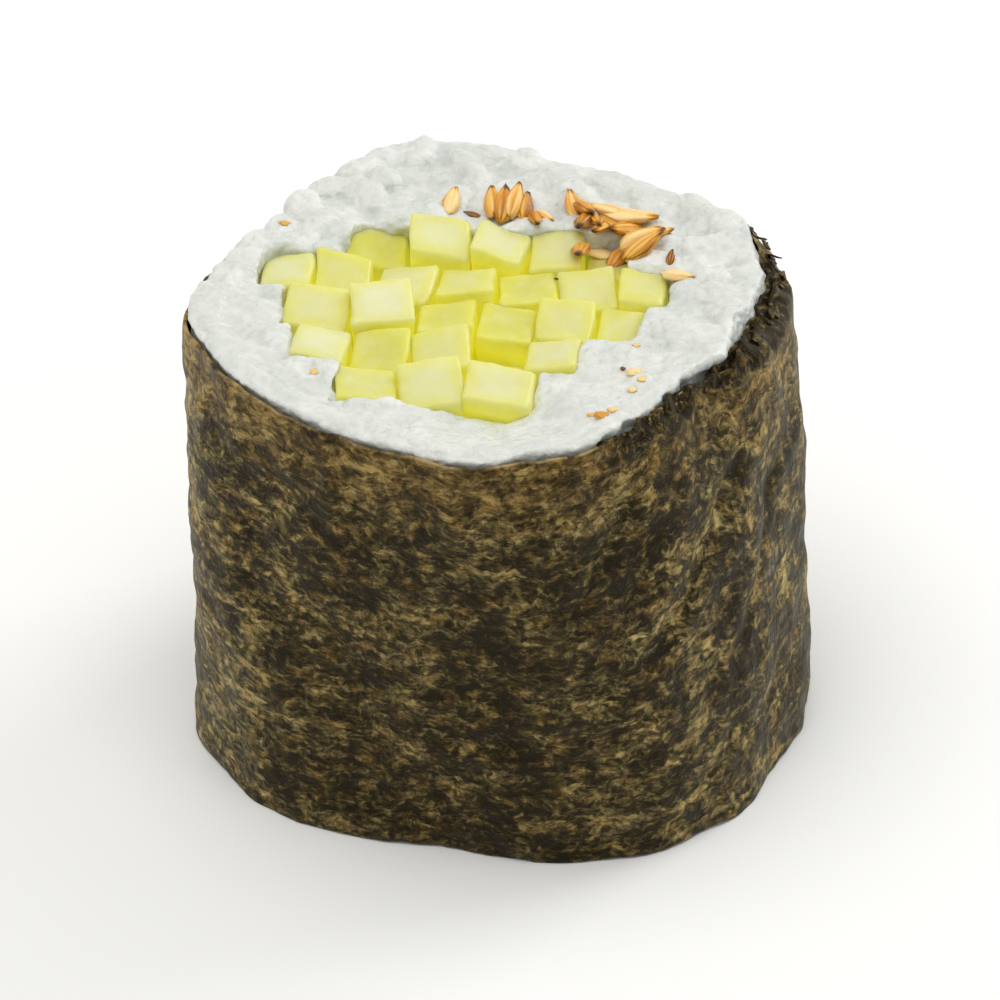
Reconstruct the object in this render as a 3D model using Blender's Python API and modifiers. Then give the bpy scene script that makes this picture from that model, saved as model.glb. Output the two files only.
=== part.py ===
"""Cucumber maki roll: one piece cut from a roll of nori, sushi rice and cucumber sticks.

The piece stands on a cut face. A sheet of nori goes round once and laps over its own start.
Rice fills the sheet from wall to core, and a bundle of cucumber sticks runs through the rice
from one cut face to the other. Metres, +Z up, origin at the middle of the footprint.
"""

import math
import random

import bmesh
import bpy
from mathutils import Matrix, Vector

# Whole piece
NORI_HEIGHT = 0.0252  # width of the strip of nori that the knife left
RICE_HEIGHT = 0.0255  # level of the rice over the two cut faces
GAP = 0.0003  # clearance between neighbouring solids
RANDOM_SEED = 7

# Outline of the nori's outer face: a circle swollen by lobes. Each lobe is how many there are
# round the circle, how far they swell it, and the direction of one of them in degrees.
BASE_RADIUS = 0.0156
BASE_LOBES = ((2, 0.00029, 10.0), (3, 0.00045, 92.0), (4, 0.00054, 24.0))
RIM_RADIUS = 0.0145
RIM_LOBES = ((2, 0.00073, 42.0), (3, 0.00043, 11.0), (4, 0.00084, 14.0))
RIM_SHIFT = Vector((-0.0018, -0.0003, 0.0))  # the top cut lies off the middle of the base
LEAN_POWER = 1.6  # above 1, the lower half of the wall keeps the outline of the base
BELLY = 0.00025  # swelling of the wall at mid height

# Soft dents in the wall: depth, waves round the wall, waves up the wall, start in degrees
DENTS = (
    (0.00016, 5, 0.7, 20.0),
    (0.00012, 9, 1.3, 130.0),
    (0.00009, 14, -0.8, 250.0),
)

# Nori
NORI_THICK = 0.0003
NORI_STEPS = 112
NORI_LEVELS = 7
LAP_START = math.radians(-25.0)  # the inner end of the sheet
LAP_ANGLE = math.radians(37.0)  # how far the outer end lies over the inner one
LAP_GAP = 0.00015
LAP_RAMP = math.radians(22.0)  # the inner layer climbs to the outer face over this angle
NORI_EDGE_WAVE = 0.00016  # unevenness of the two cut edges
FOOT_EDGE_START = 2.0  # radians by which the lower edge's waves run ahead of the upper edge's

# Rice
RICE_SIDES = 84
RICE_WALL_LEVELS = 5
RICE_TOP_SHARES = (0.9, 0.74, 0.56, 0.36, 0.16)
RICE_EDGE_ROUND = 0.0006
RICE_RELIEF = 0.0002  # unevenness of the cut rice
RICE_DISH = 0.0006  # how far the rice sinks from the rim to the middle
LIP_DIRECTION = math.radians(40.0)  # the rice swells over the rim on this side
LIP_WIDTH = 0.0005
LIP_RISE = 0.0003
LIP_RIM_DROP = 0.0004  # how much lower the nori's edge is under the lip
LIP_UNDERSIDE = 0.00012  # least height from the level of the rim to the widest point of the rice
CROWN_HEIGHT = 0.0002  # least height from the level of the rim to the flat of the cut

# Cucumber bundle, in rows from the far side to the near side. Each row has its left end, and
# for every stick its width and how far its top lies below the rice, all in millimetres.
MM = 0.001
ROW_PITCH = 0.0034
FIRST_ROW = 0.0055  # distance of the far row's middle from the middle of the rim
BUNDLE_TURN = math.radians(-2.0)
STICK_ROWS = (
    (-7.6, ((3.3, 1.0), (3.4, 0.1), (2.9, 0.3), (2.9, 0.6), (2.6, 1.4))),
    (-11.8, ((2.8, 0.5), (3.0, 0.7), (3.3, 1.1), (3.2, 0.6), (3.2, 0.9), (3.1, 0.8), (2.6, 0.4))),
    (-10.3, ((3.4, 0.4), (3.4, -0.2), (3.2, 0.5), (3.0, 0.8), (3.1, 0.4), (2.6, 0.9))),
    (-9.7, ((3.0, 0.3), (3.1, 0.7), (3.2, 0.4), (2.7, 2.2), (2.9, 0.3))),
    (-7.3, ((3.3, 0.4), (3.4, 0.2), (3.6, 0.0))),
)
STICK_TURN = math.radians(5.0)
STICK_TOP_TILT = math.radians(5.0)
STICK_EDGE = 0.0002
STICK_FOOT = 0.0001  # the sticks stop just short of the surface that the rice stands on

NORI_COLOUR = (0.055, 0.047, 0.026, 1.0)
RICE_COLOUR = (0.80, 0.81, 0.80, 1.0)
CUCUMBER_COLOUR = (0.72, 0.74, 0.33, 1.0)


def clear_scene():
    for thing in list(bpy.data.objects):
        bpy.data.objects.remove(thing, do_unlink=True)


def new_collection(name):
    collection = bpy.data.collections.new(name)
    bpy.context.scene.collection.children.link(collection)
    return collection


def plain_material(name, colour, roughness):
    material = bpy.data.materials.new(name)
    material.use_nodes = True
    shader = material.node_tree.nodes["Principled BSDF"]
    shader.inputs["Base Color"].default_value = colour
    shader.inputs["Roughness"].default_value = roughness
    shader.inputs["Metallic"].default_value = 0.0
    return material


def new_object(name, mesh_data, collection, material):
    """Turns a finished bmesh into a smooth-shaded object in the collection."""
    mesh = bpy.data.meshes.new(name)
    mesh_data.to_mesh(mesh)
    mesh_data.free()
    mesh.materials.append(material)
    mesh.shade_smooth()
    mesh.set_sharp_from_angle(angle=math.radians(40.0))
    piece = bpy.data.objects.new(name, mesh)
    collection.objects.link(piece)
    return piece


def lobed_radius(angle, mean, lobes):
    swell = 0.0
    for count, height, direction in lobes:
        swell += height * math.cos(count * (angle - math.radians(direction)))
    return mean + swell


def dent(angle, share):
    depth = 0.0
    for height, round_waves, up_waves, start in DENTS:
        turn = round_waves * angle + 2.0 * math.pi * up_waves * share
        depth += height * math.sin(turn + math.radians(start))
    return depth


def wall_point(angle, z, inset):
    """A point of the wall, the given distance inside the nori's outer face."""
    share = min(max(z / RICE_HEIGHT, 0.0), 1.0)
    lean = share**LEAN_POWER
    radius = (1.0 - lean) * lobed_radius(angle, BASE_RADIUS, BASE_LOBES)
    radius += lean * lobed_radius(angle, RIM_RADIUS, RIM_LOBES)
    radius += BELLY * math.sin(math.pi * share) + dent(angle, share) - inset
    outwards = Vector((math.cos(angle), math.sin(angle), 0.0))
    return RIM_SHIFT * lean + outwards * radius + Vector((0.0, 0.0, z))


def smooth_step(value):
    value = min(max(value, 0.0), 1.0)
    return value * value * (3.0 - 2.0 * value)


def nori_depth(turned):
    """How far the sheet lies under the outer face, after this much turning from its inner end."""
    climbed = smooth_step((turned - LAP_ANGLE) / LAP_RAMP)
    return (NORI_THICK + LAP_GAP) * (1.0 - climbed)


def edge_wave(angle):
    """Unevenness of a cut edge of the nori, from -1 to 1."""
    return 0.6 * math.sin(7.0 * angle + 0.8) + 0.4 * math.sin(17.0 * angle)


def lip_share(angle):
    """From 0 to 1, how strongly the rice swells over the rim in this direction."""
    return smooth_step(0.5 + 0.9 * math.cos(angle - LIP_DIRECTION))


def rim_height(angle):
    """Height of the nori's upper edge, a little lower where the rice swells over it."""
    return NORI_HEIGHT + NORI_EDGE_WAVE * edge_wave(angle) - LIP_RIM_DROP * lip_share(angle)


def foot_height(angle):
    """Height of the nori's lower edge over the surface."""
    return NORI_EDGE_WAVE * (1.0 + edge_wave(angle + FOOT_EDGE_START))


def make_nori(collection, material):
    """A flat grid, one side along the roll's wall and the other up it, rolled round."""
    sheet = bmesh.new()
    bmesh.ops.create_grid(sheet, x_segments=NORI_STEPS, y_segments=NORI_LEVELS, size=0.5)
    whole_turn = 2.0 * math.pi + LAP_ANGLE
    for corner in sheet.verts:
        turned = (corner.co.x + 0.5) * whole_turn
        angle = LAP_START + turned
        foot = foot_height(angle)
        z = foot + (corner.co.y + 0.5) * (rim_height(angle) - foot)
        corner.co = wall_point(angle, z, nori_depth(turned))
    bmesh.ops.recalc_face_normals(sheet, faces=sheet.faces)
    piece = new_object("nori_wrap", sheet, collection, material)
    thickness = piece.modifiers.new("sheet thickness", "SOLIDIFY")
    thickness.thickness = NORI_THICK
    thickness.offset = -1.0
    thickness.use_even_offset = True
    return piece


def rice_inset(angle):
    """Distance from the nori's outer face to the rice, which makes room for the sheet's inner end."""
    turned = (angle - LAP_START) % (2.0 * math.pi)
    ramp_up = smooth_step(1.0 - (2.0 * math.pi - turned) / (0.5 * LAP_RAMP))
    depth = max(nori_depth(turned), (NORI_THICK + LAP_GAP) * ramp_up)
    return depth + NORI_THICK + GAP


def relief(x, y):
    """Gentle unevenness of the cut rice, in waves a few millimetres long."""
    wave = math.sin(1150.0 * x + 900.0 * y + 0.4) + math.sin(1500.0 * y - 700.0 * x)
    return RICE_RELIEF * 0.5 * wave


def rice_section(angle):
    """The rice's outline in one direction, from the middle of its foot to the middle of its top."""
    inset = rice_inset(angle)
    rim = rim_height(angle) + GAP
    lip = lip_share(angle)
    section = [Vector((0.0, 0.0, 0.0)), wall_point(angle, 0.0, inset)]
    for level in range(1, RICE_WALL_LEVELS + 1):
        section.append(wall_point(angle, rim * level / RICE_WALL_LEVELS, inset))
    swell = (inset + LIP_WIDTH) * lip
    rise = LIP_RISE * lip
    section.append(wall_point(angle, rim + LIP_UNDERSIDE + 0.5 * rise, inset - swell))
    shoulder = wall_point(angle, RICE_HEIGHT, inset + RICE_EDGE_ROUND - 0.8 * swell)
    shoulder.z = max(RICE_HEIGHT, rim + CROWN_HEIGHT) + rise
    section.append(shoulder)
    for share in RICE_TOP_SHARES:
        point = RIM_SHIFT.lerp(wall_point(angle, RICE_HEIGHT, inset), share)
        point.z = RICE_HEIGHT + relief(point.x, point.y) + 0.5 * rise * share
        point.z -= RICE_DISH * (1.0 - share)
        section.append(point)
    middle = RIM_SHIFT.copy()
    middle.z = RICE_HEIGHT - RICE_DISH
    section.append(middle)
    return section


def make_rice(collection, material):
    """A grid rolled into a closed body: one side runs round it, the other along its section."""
    sections = [rice_section(2.0 * math.pi * side / RICE_SIDES) for side in range(RICE_SIDES)]
    steps = len(sections[0]) - 1
    body = bmesh.new()
    bmesh.ops.create_grid(body, x_segments=RICE_SIDES, y_segments=steps, size=0.5)
    for corner in body.verts:
        side = round((corner.co.x + 0.5) * RICE_SIDES) % RICE_SIDES
        step = round((corner.co.y + 0.5) * steps)
        corner.co = sections[side][step]
    bmesh.ops.remove_doubles(body, verts=body.verts, dist=0.000001)
    bmesh.ops.recalc_face_normals(body, faces=body.faces)
    return new_object("rice", body, collection, material)


def bundle_place(x, y, z):
    """From the bundle's own plan, measured at the top, to the leaning place in the roll."""
    turned = Matrix.Rotation(BUNDLE_TURN, 4, "Z") @ Vector((x, y, 0.0))
    lean = RIM_SHIFT * (z / RICE_HEIGHT)
    return turned + lean + Vector((0.0, 0.0, z))


def row_middle(row):
    return FIRST_ROW - ROW_PITCH * row


def row_length(sticks):
    return sum(width for width, _ in sticks) * MM


def make_bundle_cutter(collection):
    """The space for the bundle: a stepped prism with one step for each end of a row."""
    right_side = []
    left_side = []
    for row, (left, sticks) in enumerate(STICK_ROWS):
        far = row_middle(row) + 0.5 * ROW_PITCH
        near = row_middle(row) - 0.5 * ROW_PITCH
        left_end = left * MM - 0.5 * GAP
        right_end = left * MM + row_length(sticks) + 0.5 * GAP
        if row == 0:
            far += 0.5 * GAP
        if row == len(STICK_ROWS) - 1:
            near -= 0.5 * GAP
        right_side += [(right_end, far), (right_end, near)]
        left_side += [(left_end, far), (left_end, near)]
    outline = right_side + left_side[::-1]
    below = -0.002
    above = RICE_HEIGHT + 0.003
    prism = bmesh.new()
    foot = prism.faces.new([prism.verts.new(bundle_place(x, y, below)) for x, y in outline])
    grown = bmesh.ops.extrude_face_region(prism, geom=[foot])
    top = [part for part in grown["geom"] if isinstance(part, bmesh.types.BMVert)]
    rise = bundle_place(0.0, 0.0, above) - bundle_place(0.0, 0.0, below)
    bmesh.ops.translate(prism, vec=rise, verts=top)
    bmesh.ops.recalc_face_normals(prism, faces=prism.faces)
    mesh = bpy.data.meshes.new("bundle_space")
    prism.to_mesh(mesh)
    prism.free()
    cutter = bpy.data.objects.new("bundle_space", mesh)
    cutter.hide_render = True
    cutter.display_type = "WIRE"
    collection.objects.link(cutter)
    return cutter


def make_stick(name, x, y, width, drop, chance, collection, material):
    """One cucumber stick: a long square block, a little turned, with a slanting cut on top."""
    turn = chance.uniform(-STICK_TURN, STICK_TURN)
    tilt_x = math.tan(chance.uniform(-STICK_TOP_TILT, STICK_TOP_TILT))
    tilt_y = math.tan(chance.uniform(-STICK_TOP_TILT, STICK_TOP_TILT))
    room = math.cos(turn) + abs(math.sin(turn))  # a turned square needs a wider cell
    across = (width - GAP) / room
    along = (ROW_PITCH - GAP) / room
    height = RICE_HEIGHT - drop
    block = bmesh.new()
    bmesh.ops.create_cube(block, size=1.0)
    bmesh.ops.scale(block, vec=(across, along, 1.0), verts=block.verts)
    upright = [edge for edge in block.edges if abs(edge.verts[0].co.z - edge.verts[1].co.z) > 0.5]
    bmesh.ops.bevel(
        block, geom=upright, offset=STICK_EDGE, segments=1, profile=0.5, affect="EDGES", material=-1
    )
    for corner in block.verts:
        plan = Matrix.Rotation(turn, 4, "Z") @ Vector((corner.co.x, corner.co.y, 0.0))
        z = STICK_FOOT
        if corner.co.z > 0.0:
            z = height + tilt_x * plan.x + tilt_y * plan.y
        corner.co = bundle_place(x + plan.x, y + plan.y, z)
    bmesh.ops.recalc_face_normals(block, faces=block.faces)
    return new_object(name, block, collection, material)


def make_sticks(collection, material):
    chance = random.Random(RANDOM_SEED)
    sticks_made = []
    for row, (left, sticks) in enumerate(STICK_ROWS):
        edge = left * MM
        for width_mm, drop_mm in sticks:
            width = width_mm * MM
            name = f"cucumber_{len(sticks_made) + 1:02d}"
            stick = make_stick(
                name,
                edge + 0.5 * width,
                row_middle(row),
                width,
                drop_mm * MM,
                chance,
                collection,
                material,
            )
            sticks_made.append(stick)
            edge += width
    return sticks_made


def centre_on_footprint(pieces, holder):
    """Moves the holder so that the middle of the whole box stands on the origin."""
    bpy.context.view_layer.update()
    graph = bpy.context.evaluated_depsgraph_get()
    corners = []
    for piece in pieces:
        evaluated = piece.evaluated_get(graph)
        corners += [evaluated.matrix_world @ Vector(corner) for corner in evaluated.bound_box]
    middle_x = 0.5 * (min(c.x for c in corners) + max(c.x for c in corners))
    middle_y = 0.5 * (min(c.y for c in corners) + max(c.y for c in corners))
    holder.location = (-middle_x, -middle_y, 0.0)


def main():
    clear_scene()
    parts = new_collection("cucumber_maki_roll")
    cutters = new_collection("cutters")
    nori = plain_material("roasted nori", NORI_COLOUR, 0.55)
    rice = plain_material("cooked sushi rice", RICE_COLOUR, 0.45)
    cucumber = plain_material("cut cucumber flesh", CUCUMBER_COLOUR, 0.35)

    nori_piece = make_nori(parts, nori)
    rice_piece = make_rice(parts, rice)
    bundle_space = make_bundle_cutter(cutters)
    opening = rice_piece.modifiers.new("space for the bundle", "BOOLEAN")
    opening.operation = "DIFFERENCE"
    opening.solver = "EXACT"
    opening.object = bundle_space
    pieces = [nori_piece, rice_piece] + make_sticks(parts, cucumber)

    holder = bpy.data.objects.new("maki_holder", None)
    parts.objects.link(holder)
    for piece in pieces + [bundle_space]:
        piece.parent = holder
    centre_on_footprint(pieces, holder)


main()
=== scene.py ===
# %% [markdown]
# # One piece of cucumber maki
# The roll stands on a cut face: a sheet of roasted nori round a thick ring of sushi rice, with a
# bundle of square cucumber sticks running through the middle and toasted sesame on the top cut.
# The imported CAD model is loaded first. It fixes every size and place, and each piece made below
# is laid over the CAD solid that it stands for.

import math
import random

import bmesh
import bpy
from mathutils import Euler, Matrix, Vector, noise
from mathutils.bvhtree import BVHTree
from mathutils.kdtree import KDTree


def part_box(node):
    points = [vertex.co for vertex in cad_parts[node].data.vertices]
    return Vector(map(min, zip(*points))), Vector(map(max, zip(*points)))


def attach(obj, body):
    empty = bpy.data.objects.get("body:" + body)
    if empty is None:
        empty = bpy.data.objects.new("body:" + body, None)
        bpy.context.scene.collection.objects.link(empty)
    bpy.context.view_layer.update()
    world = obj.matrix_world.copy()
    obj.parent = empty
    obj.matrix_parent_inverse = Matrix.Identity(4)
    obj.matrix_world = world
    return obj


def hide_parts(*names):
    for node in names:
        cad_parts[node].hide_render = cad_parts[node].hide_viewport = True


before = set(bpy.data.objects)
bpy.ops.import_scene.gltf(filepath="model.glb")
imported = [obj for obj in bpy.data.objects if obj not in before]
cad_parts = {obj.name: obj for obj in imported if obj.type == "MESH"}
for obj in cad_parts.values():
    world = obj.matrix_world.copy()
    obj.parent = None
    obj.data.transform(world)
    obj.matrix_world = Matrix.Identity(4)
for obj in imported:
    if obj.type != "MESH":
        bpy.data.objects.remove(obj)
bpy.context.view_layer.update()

# %% [markdown]
# ## Units and small helpers
# Blender works in metres here, and this piece is only 33 mm wide, so lengths are written in
# millimetres times MM, and the scale of a pattern as repeats per millimetre times PER_MM. The
# helpers below ease a value between 0 and 1, turn a bmesh into an object that rides on the frame,
# and bake modifiers into a mesh when the next step needs the real points.

# %% Helpers for shapes
MM = 0.001
PER_MM = 1.0 / MM


def smooth_step(value):
    """Eases from 0 to 1, and stays there outside that range."""
    value = min(max(value, 0.0), 1.0)
    return value * value * (3.0 - 2.0 * value)


def lumps(place, size, seed=0.0):
    """Smooth noise from about -1 to 1, in lumps of the given size."""
    return noise.noise(place / size + Vector((seed, seed * 1.7, seed * 2.3)))


def new_piece(name, mesh_data, material, sharp_angle=40.0):
    """Turns a finished bmesh into a smooth-shaded object that rides on the roll."""
    mesh = bpy.data.meshes.new(name)
    mesh_data.to_mesh(mesh)
    mesh_data.free()
    mesh.materials.append(material)
    mesh.shade_smooth()
    mesh.set_sharp_from_angle(angle=math.radians(sharp_angle))
    piece = bpy.data.objects.new(name, mesh)
    bpy.context.scene.collection.objects.link(piece)
    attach(piece, "root")
    return piece


def bake_modifiers(piece):
    """Swaps the mesh for what its modifiers make of it."""
    bpy.context.view_layer.update()
    graph = bpy.context.evaluated_depsgraph_get()
    made = bpy.data.meshes.new_from_object(piece.evaluated_get(graph))
    before = piece.data
    piece.modifiers.clear()
    piece.data = made
    bpy.data.meshes.remove(before)
    made.name = piece.name
    return made


def copy_of_node(name):
    """A bmesh of a CAD node, with its loose triangles joined into one skin."""
    copy = bmesh.new()
    copy.from_mesh(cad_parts[name].data)
    bmesh.ops.remove_doubles(copy, verts=copy.verts, dist=0.001 * MM)
    return copy


def paint(piece, name, values):
    """Stores one number for every point, which the material reads as an attribute."""
    piece.data.attributes.new(name, "FLOAT", "POINT").data.foreach_set("value", values)


def report(piece):
    piece.data.calc_loop_triangles()
    sides = [round(side / MM, 1) for side in piece.dimensions]
    print(f"{piece.name}: {len(piece.data.loop_triangles)} triangles, {sides} mm")


# %% [markdown]
# ## Colour and node helpers
# Colours are written as sRGB hex values, as a paint program shows them. Blender's sockets take
# linear light, so one function converts them. Another fills sockets: with a value, with a colour,
# or with a link when it is handed another node. The last adds a shader node with its settings,
# which keeps each material short.

# %% Helpers for materials
def linear(hex_colour):
    """Linear RGBA for an sRGB hex colour."""
    channels = [int(hex_colour[start : start + 2], 16) / 255.0 for start in (1, 3, 5)]
    light = [c / 12.92 if c <= 0.04045 else ((c + 0.055) / 1.055) ** 2.4 for c in channels]
    return (*light, 1.0)


def fill(node, sockets):
    """Fills a node's sockets. A node stands for its first output, and a text is a hex colour."""
    for name, value in sockets.items():
        if isinstance(value, bpy.types.Node):
            value = next(output for output in value.outputs if not output.is_unavailable)
        if isinstance(value, bpy.types.NodeSocket):
            node.id_data.links.new(value, node.inputs[name])
        else:
            node.inputs[name].default_value = linear(value) if isinstance(value, str) else value


def add(tree, kind, sockets=None, stops=(), **settings):
    """Adds a node. The stops are the places and colours of a ramp, whose ends lie at 0 and 1."""
    made = tree.nodes.new("ShaderNode" + kind)
    for name, value in settings.items():
        setattr(made, name, value)
    fill(made, sockets or {})
    for number, (place, colour) in enumerate(sorted(stops, key=lambda stop: stop[0] not in (0.0, 1.0))):
        stop = made.color_ramp.elements[number] if number < 2 else made.color_ramp.elements.new(place)
        stop.color = linear(colour)
    return made


def new_material(name):
    """An empty node tree with a Principled shader, ready for its sockets."""
    material = bpy.data.materials.new(name)
    material.use_nodes = True
    return material, material.node_tree, material.node_tree.nodes["Principled BSDF"]


# %% [markdown]
# ## Outline of the roll
# No two pieces of maki are round in the same way. The wall here is a circle swollen by a few
# lobes, with one set at the base and another at the rim, and the top is pushed to one side. The
# same formula made the CAD solids, so the detailed nori and rice land exactly on them. The CAD
# model was then centred on its footprint: that shift is measured from the nori's box.

# %% Wall of the roll
RICE_HEIGHT = 25.5 * MM
NORI_HEIGHT = 25.2 * MM

# Lobes of the outline: how many go round, height in mm, direction of the first in degrees
BASE_RADIUS = 15.6 * MM
BASE_LOBES = ((2, 0.29, 10.0), (3, 0.45, 92.0), (4, 0.54, 24.0))
RIM_RADIUS = 14.5 * MM
RIM_LOBES = ((2, 0.73, 42.0), (3, 0.43, 11.0), (4, 0.84, 14.0))
RIM_SHIFT = Vector((-1.8, -0.3, 0.0)) * MM
LEAN_POWER = 1.6
BELLY = 0.25 * MM

# Dents: depth in mm, how many go round, turns they climb through, where they start in degrees
DENTS = ((0.16, 5, 0.7, 20.0), (0.12, 9, 1.3, 130.0), (0.09, 14, -0.8, 250.0))


def lobed_radius(angle, mean, lobes):
    swell = sum(h * math.cos(n * (angle - math.radians(way))) for n, h, way in lobes)
    return mean + swell * MM


def lean_at(z):
    """From 0 at the base to 1 at the top cut: how far the outline has changed over."""
    return min(max(z / RICE_HEIGHT, 0.0), 1.0) ** LEAN_POWER


def wall_radius(angle, z):
    share = min(max(z / RICE_HEIGHT, 0.0), 1.0)
    lean = lean_at(z)
    radius = (1.0 - lean) * lobed_radius(angle, BASE_RADIUS, BASE_LOBES)
    radius += lean * lobed_radius(angle, RIM_RADIUS, RIM_LOBES)
    for height, around, upwards, start in DENTS:
        turn = around * angle + 2.0 * math.pi * upwards * share + math.radians(start)
        radius += height * MM * math.sin(turn)
    return radius + BELLY * math.sin(math.pi * share)


def outwards(angle):
    return Vector((math.cos(angle), math.sin(angle), 0.0))


def measure_shift():
    """How far the CAD model was moved to centre it on its footprint."""
    rounds = [math.radians(step) for step in range(360)]
    heights = [RICE_HEIGHT * level / 40.0 for level in range(40)]
    points = [RIM_SHIFT * lean_at(z) + outwards(a) * wall_radius(a, z) for a in rounds for z in heights]
    lo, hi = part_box("nori_wrap")
    x = 0.5 * (lo.x + hi.x - min(p.x for p in points) - max(p.x for p in points))
    y = 0.5 * (lo.y + hi.y - min(p.y for p in points) - max(p.y for p in points))
    return Vector((x, y, 0.0))


# %% Shift and points of the wall
FOOT_SHIFT = measure_shift()
print("shift of the outline in mm:", [round(part / MM, 2) for part in FOOT_SHIFT])


def wall_middle(z):
    return FOOT_SHIFT + RIM_SHIFT * lean_at(z)


def wall_point(angle, z, inset=0.0):
    """A point of the wall, the given distance inside the nori's outer face."""
    middle = wall_middle(z)
    return middle + outwards(angle) * (wall_radius(angle, z) - inset) + Vector((0.0, 0.0, z))


# %% [markdown]
# ## Camera, floor and light
# The camera stands where a cook looks down at the plate, 35 degrees above the table. A long lens
# frames the piece closely without changing that perspective, and a small roll tips it the way a
# hand-held view of a piece off to one side does. The floor is plain pale paper. A bright world
# alone would leave the nori flat, so one broad lamp overhead and one behind on the right add soft
# light and a sheen on the nori that turns away.

# %% Camera
CAMERA_ELEVATION = math.radians(34.97)
CAMERA_DISTANCE = 0.5095
CAMERA_AIM = Vector((-0.07, -1.15, 13.0)) * MM
CAMERA_LENS = 350.0
CAMERA_ROLL = math.radians(1.86)
SENSOR_WIDTH = 36.0

camera_data = bpy.data.cameras.new("maki_camera")
camera_data.lens = CAMERA_LENS
camera_data.sensor_width = SENSOR_WIDTH
camera_data.clip_start = 0.01
camera = bpy.data.objects.new("maki_camera", camera_data)
bpy.context.scene.collection.objects.link(camera)
back = Vector((0.0, -math.cos(CAMERA_ELEVATION), math.sin(CAMERA_ELEVATION)))
aim = (-back).to_track_quat("-Z", "Y").to_matrix().to_4x4()
place = Matrix.Translation(CAMERA_AIM + back * CAMERA_DISTANCE)
camera.matrix_world = place @ aim @ Matrix.Rotation(CAMERA_ROLL, 4, "Z")
bpy.context.scene.camera = camera
bpy.context.scene.view_settings.view_transform = "Standard"
print("camera stands", round(CAMERA_DISTANCE / MM), "mm away")

# %% Floor
FLOOR_HALF = 1.5

paper, tree, shader = new_material("seamless white paper, matt")
paper_tone = add(tree, "TexNoise", {"Scale": 6.0, "Detail": 2.0})
paper_mix = add(tree, "Mix", {"Factor": paper_tone, "A": "#FDFDFC", "B": "#FFFFFF"}, data_type="RGBA")
fill(shader, {"Base Color": paper_mix, "Roughness": 0.9})
floor_mesh = bmesh.new()
bmesh.ops.create_grid(floor_mesh, x_segments=2, y_segments=2, size=FLOOR_HALF)
floor_data = bpy.data.meshes.new("floor")
floor_mesh.to_mesh(floor_data)
floor_mesh.free()
floor_data.materials.append(paper)
floor = bpy.data.objects.new("floor", floor_data)
bpy.context.scene.collection.objects.link(floor)

# %% Light
world = bpy.data.worlds.new("pale studio")
world.use_nodes = True
fill(world.node_tree.nodes["Background"], {"Color": "#FCFCF9", "Strength": 0.54})
bpy.context.scene.world = world

# name, place in metres, side of the square lamp, power in watts, colour
LAMPS = (
    ("overhead", (-0.10, -0.05, 0.60), 0.50, 1.85, "#FFFEFB"),
    ("behind_right", (0.42, 0.34, 0.30), 0.30, 1.2, "#FFFFFF"),
)
for name, at, side, power, colour in LAMPS:
    lamp_data = bpy.data.lights.new(name, "AREA")
    lamp_data.size = side
    lamp_data.energy = power
    lamp_data.color = linear(colour)[:3]
    lamp = bpy.data.objects.new(name, lamp_data)
    lamp.location = at
    lamp.rotation_euler = (CAMERA_AIM - Vector(at)).to_track_quat("-Z", "Y").to_euler()
    bpy.context.scene.collection.objects.link(lamp)
print("camera, floor and", len(LAMPS), "lamps are in place")

# %% [markdown]
# ## Nori: what it is
# Nori is chopped seaweed, dried on a mat like paper and roasted. Up close it is a felt of short
# golden-brown fibres in a nearly black, slightly shiny film, darker where the film is thick. An
# image of nori could be wrapped round the roll, but noise and cells have no edge that repeats and
# stay sharp close up. All of the pattern lies in the sheet, so the material reads a UV map laid
# out in millimetres along and across the sheet, and fibres keep their true size round the roll.

# %% Nori material
nori_material, tree, shader = new_material("roasted nori")
sheet_uv = add(tree, "UVMap", uv_map="sheet")
on_sheet = add(tree, "SeparateXYZ", {"Vector": sheet_uv})

# Chopped weed doesn't settle in straight lines: each place drifts by up to half a millimetre.
drift = add(tree, "TexNoise", {"Vector": sheet_uv, "Scale": 0.7, "Detail": 3.0})
drift_centred = add(
    tree, "VectorMath", {0: drift.outputs["Color"], 1: (0.5, 0.5, 0.5)}, operation="SUBTRACT"
)
drifting = add(tree, "VectorMath", {0: sheet_uv, 1: drift_centred}, operation="ADD")

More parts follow.
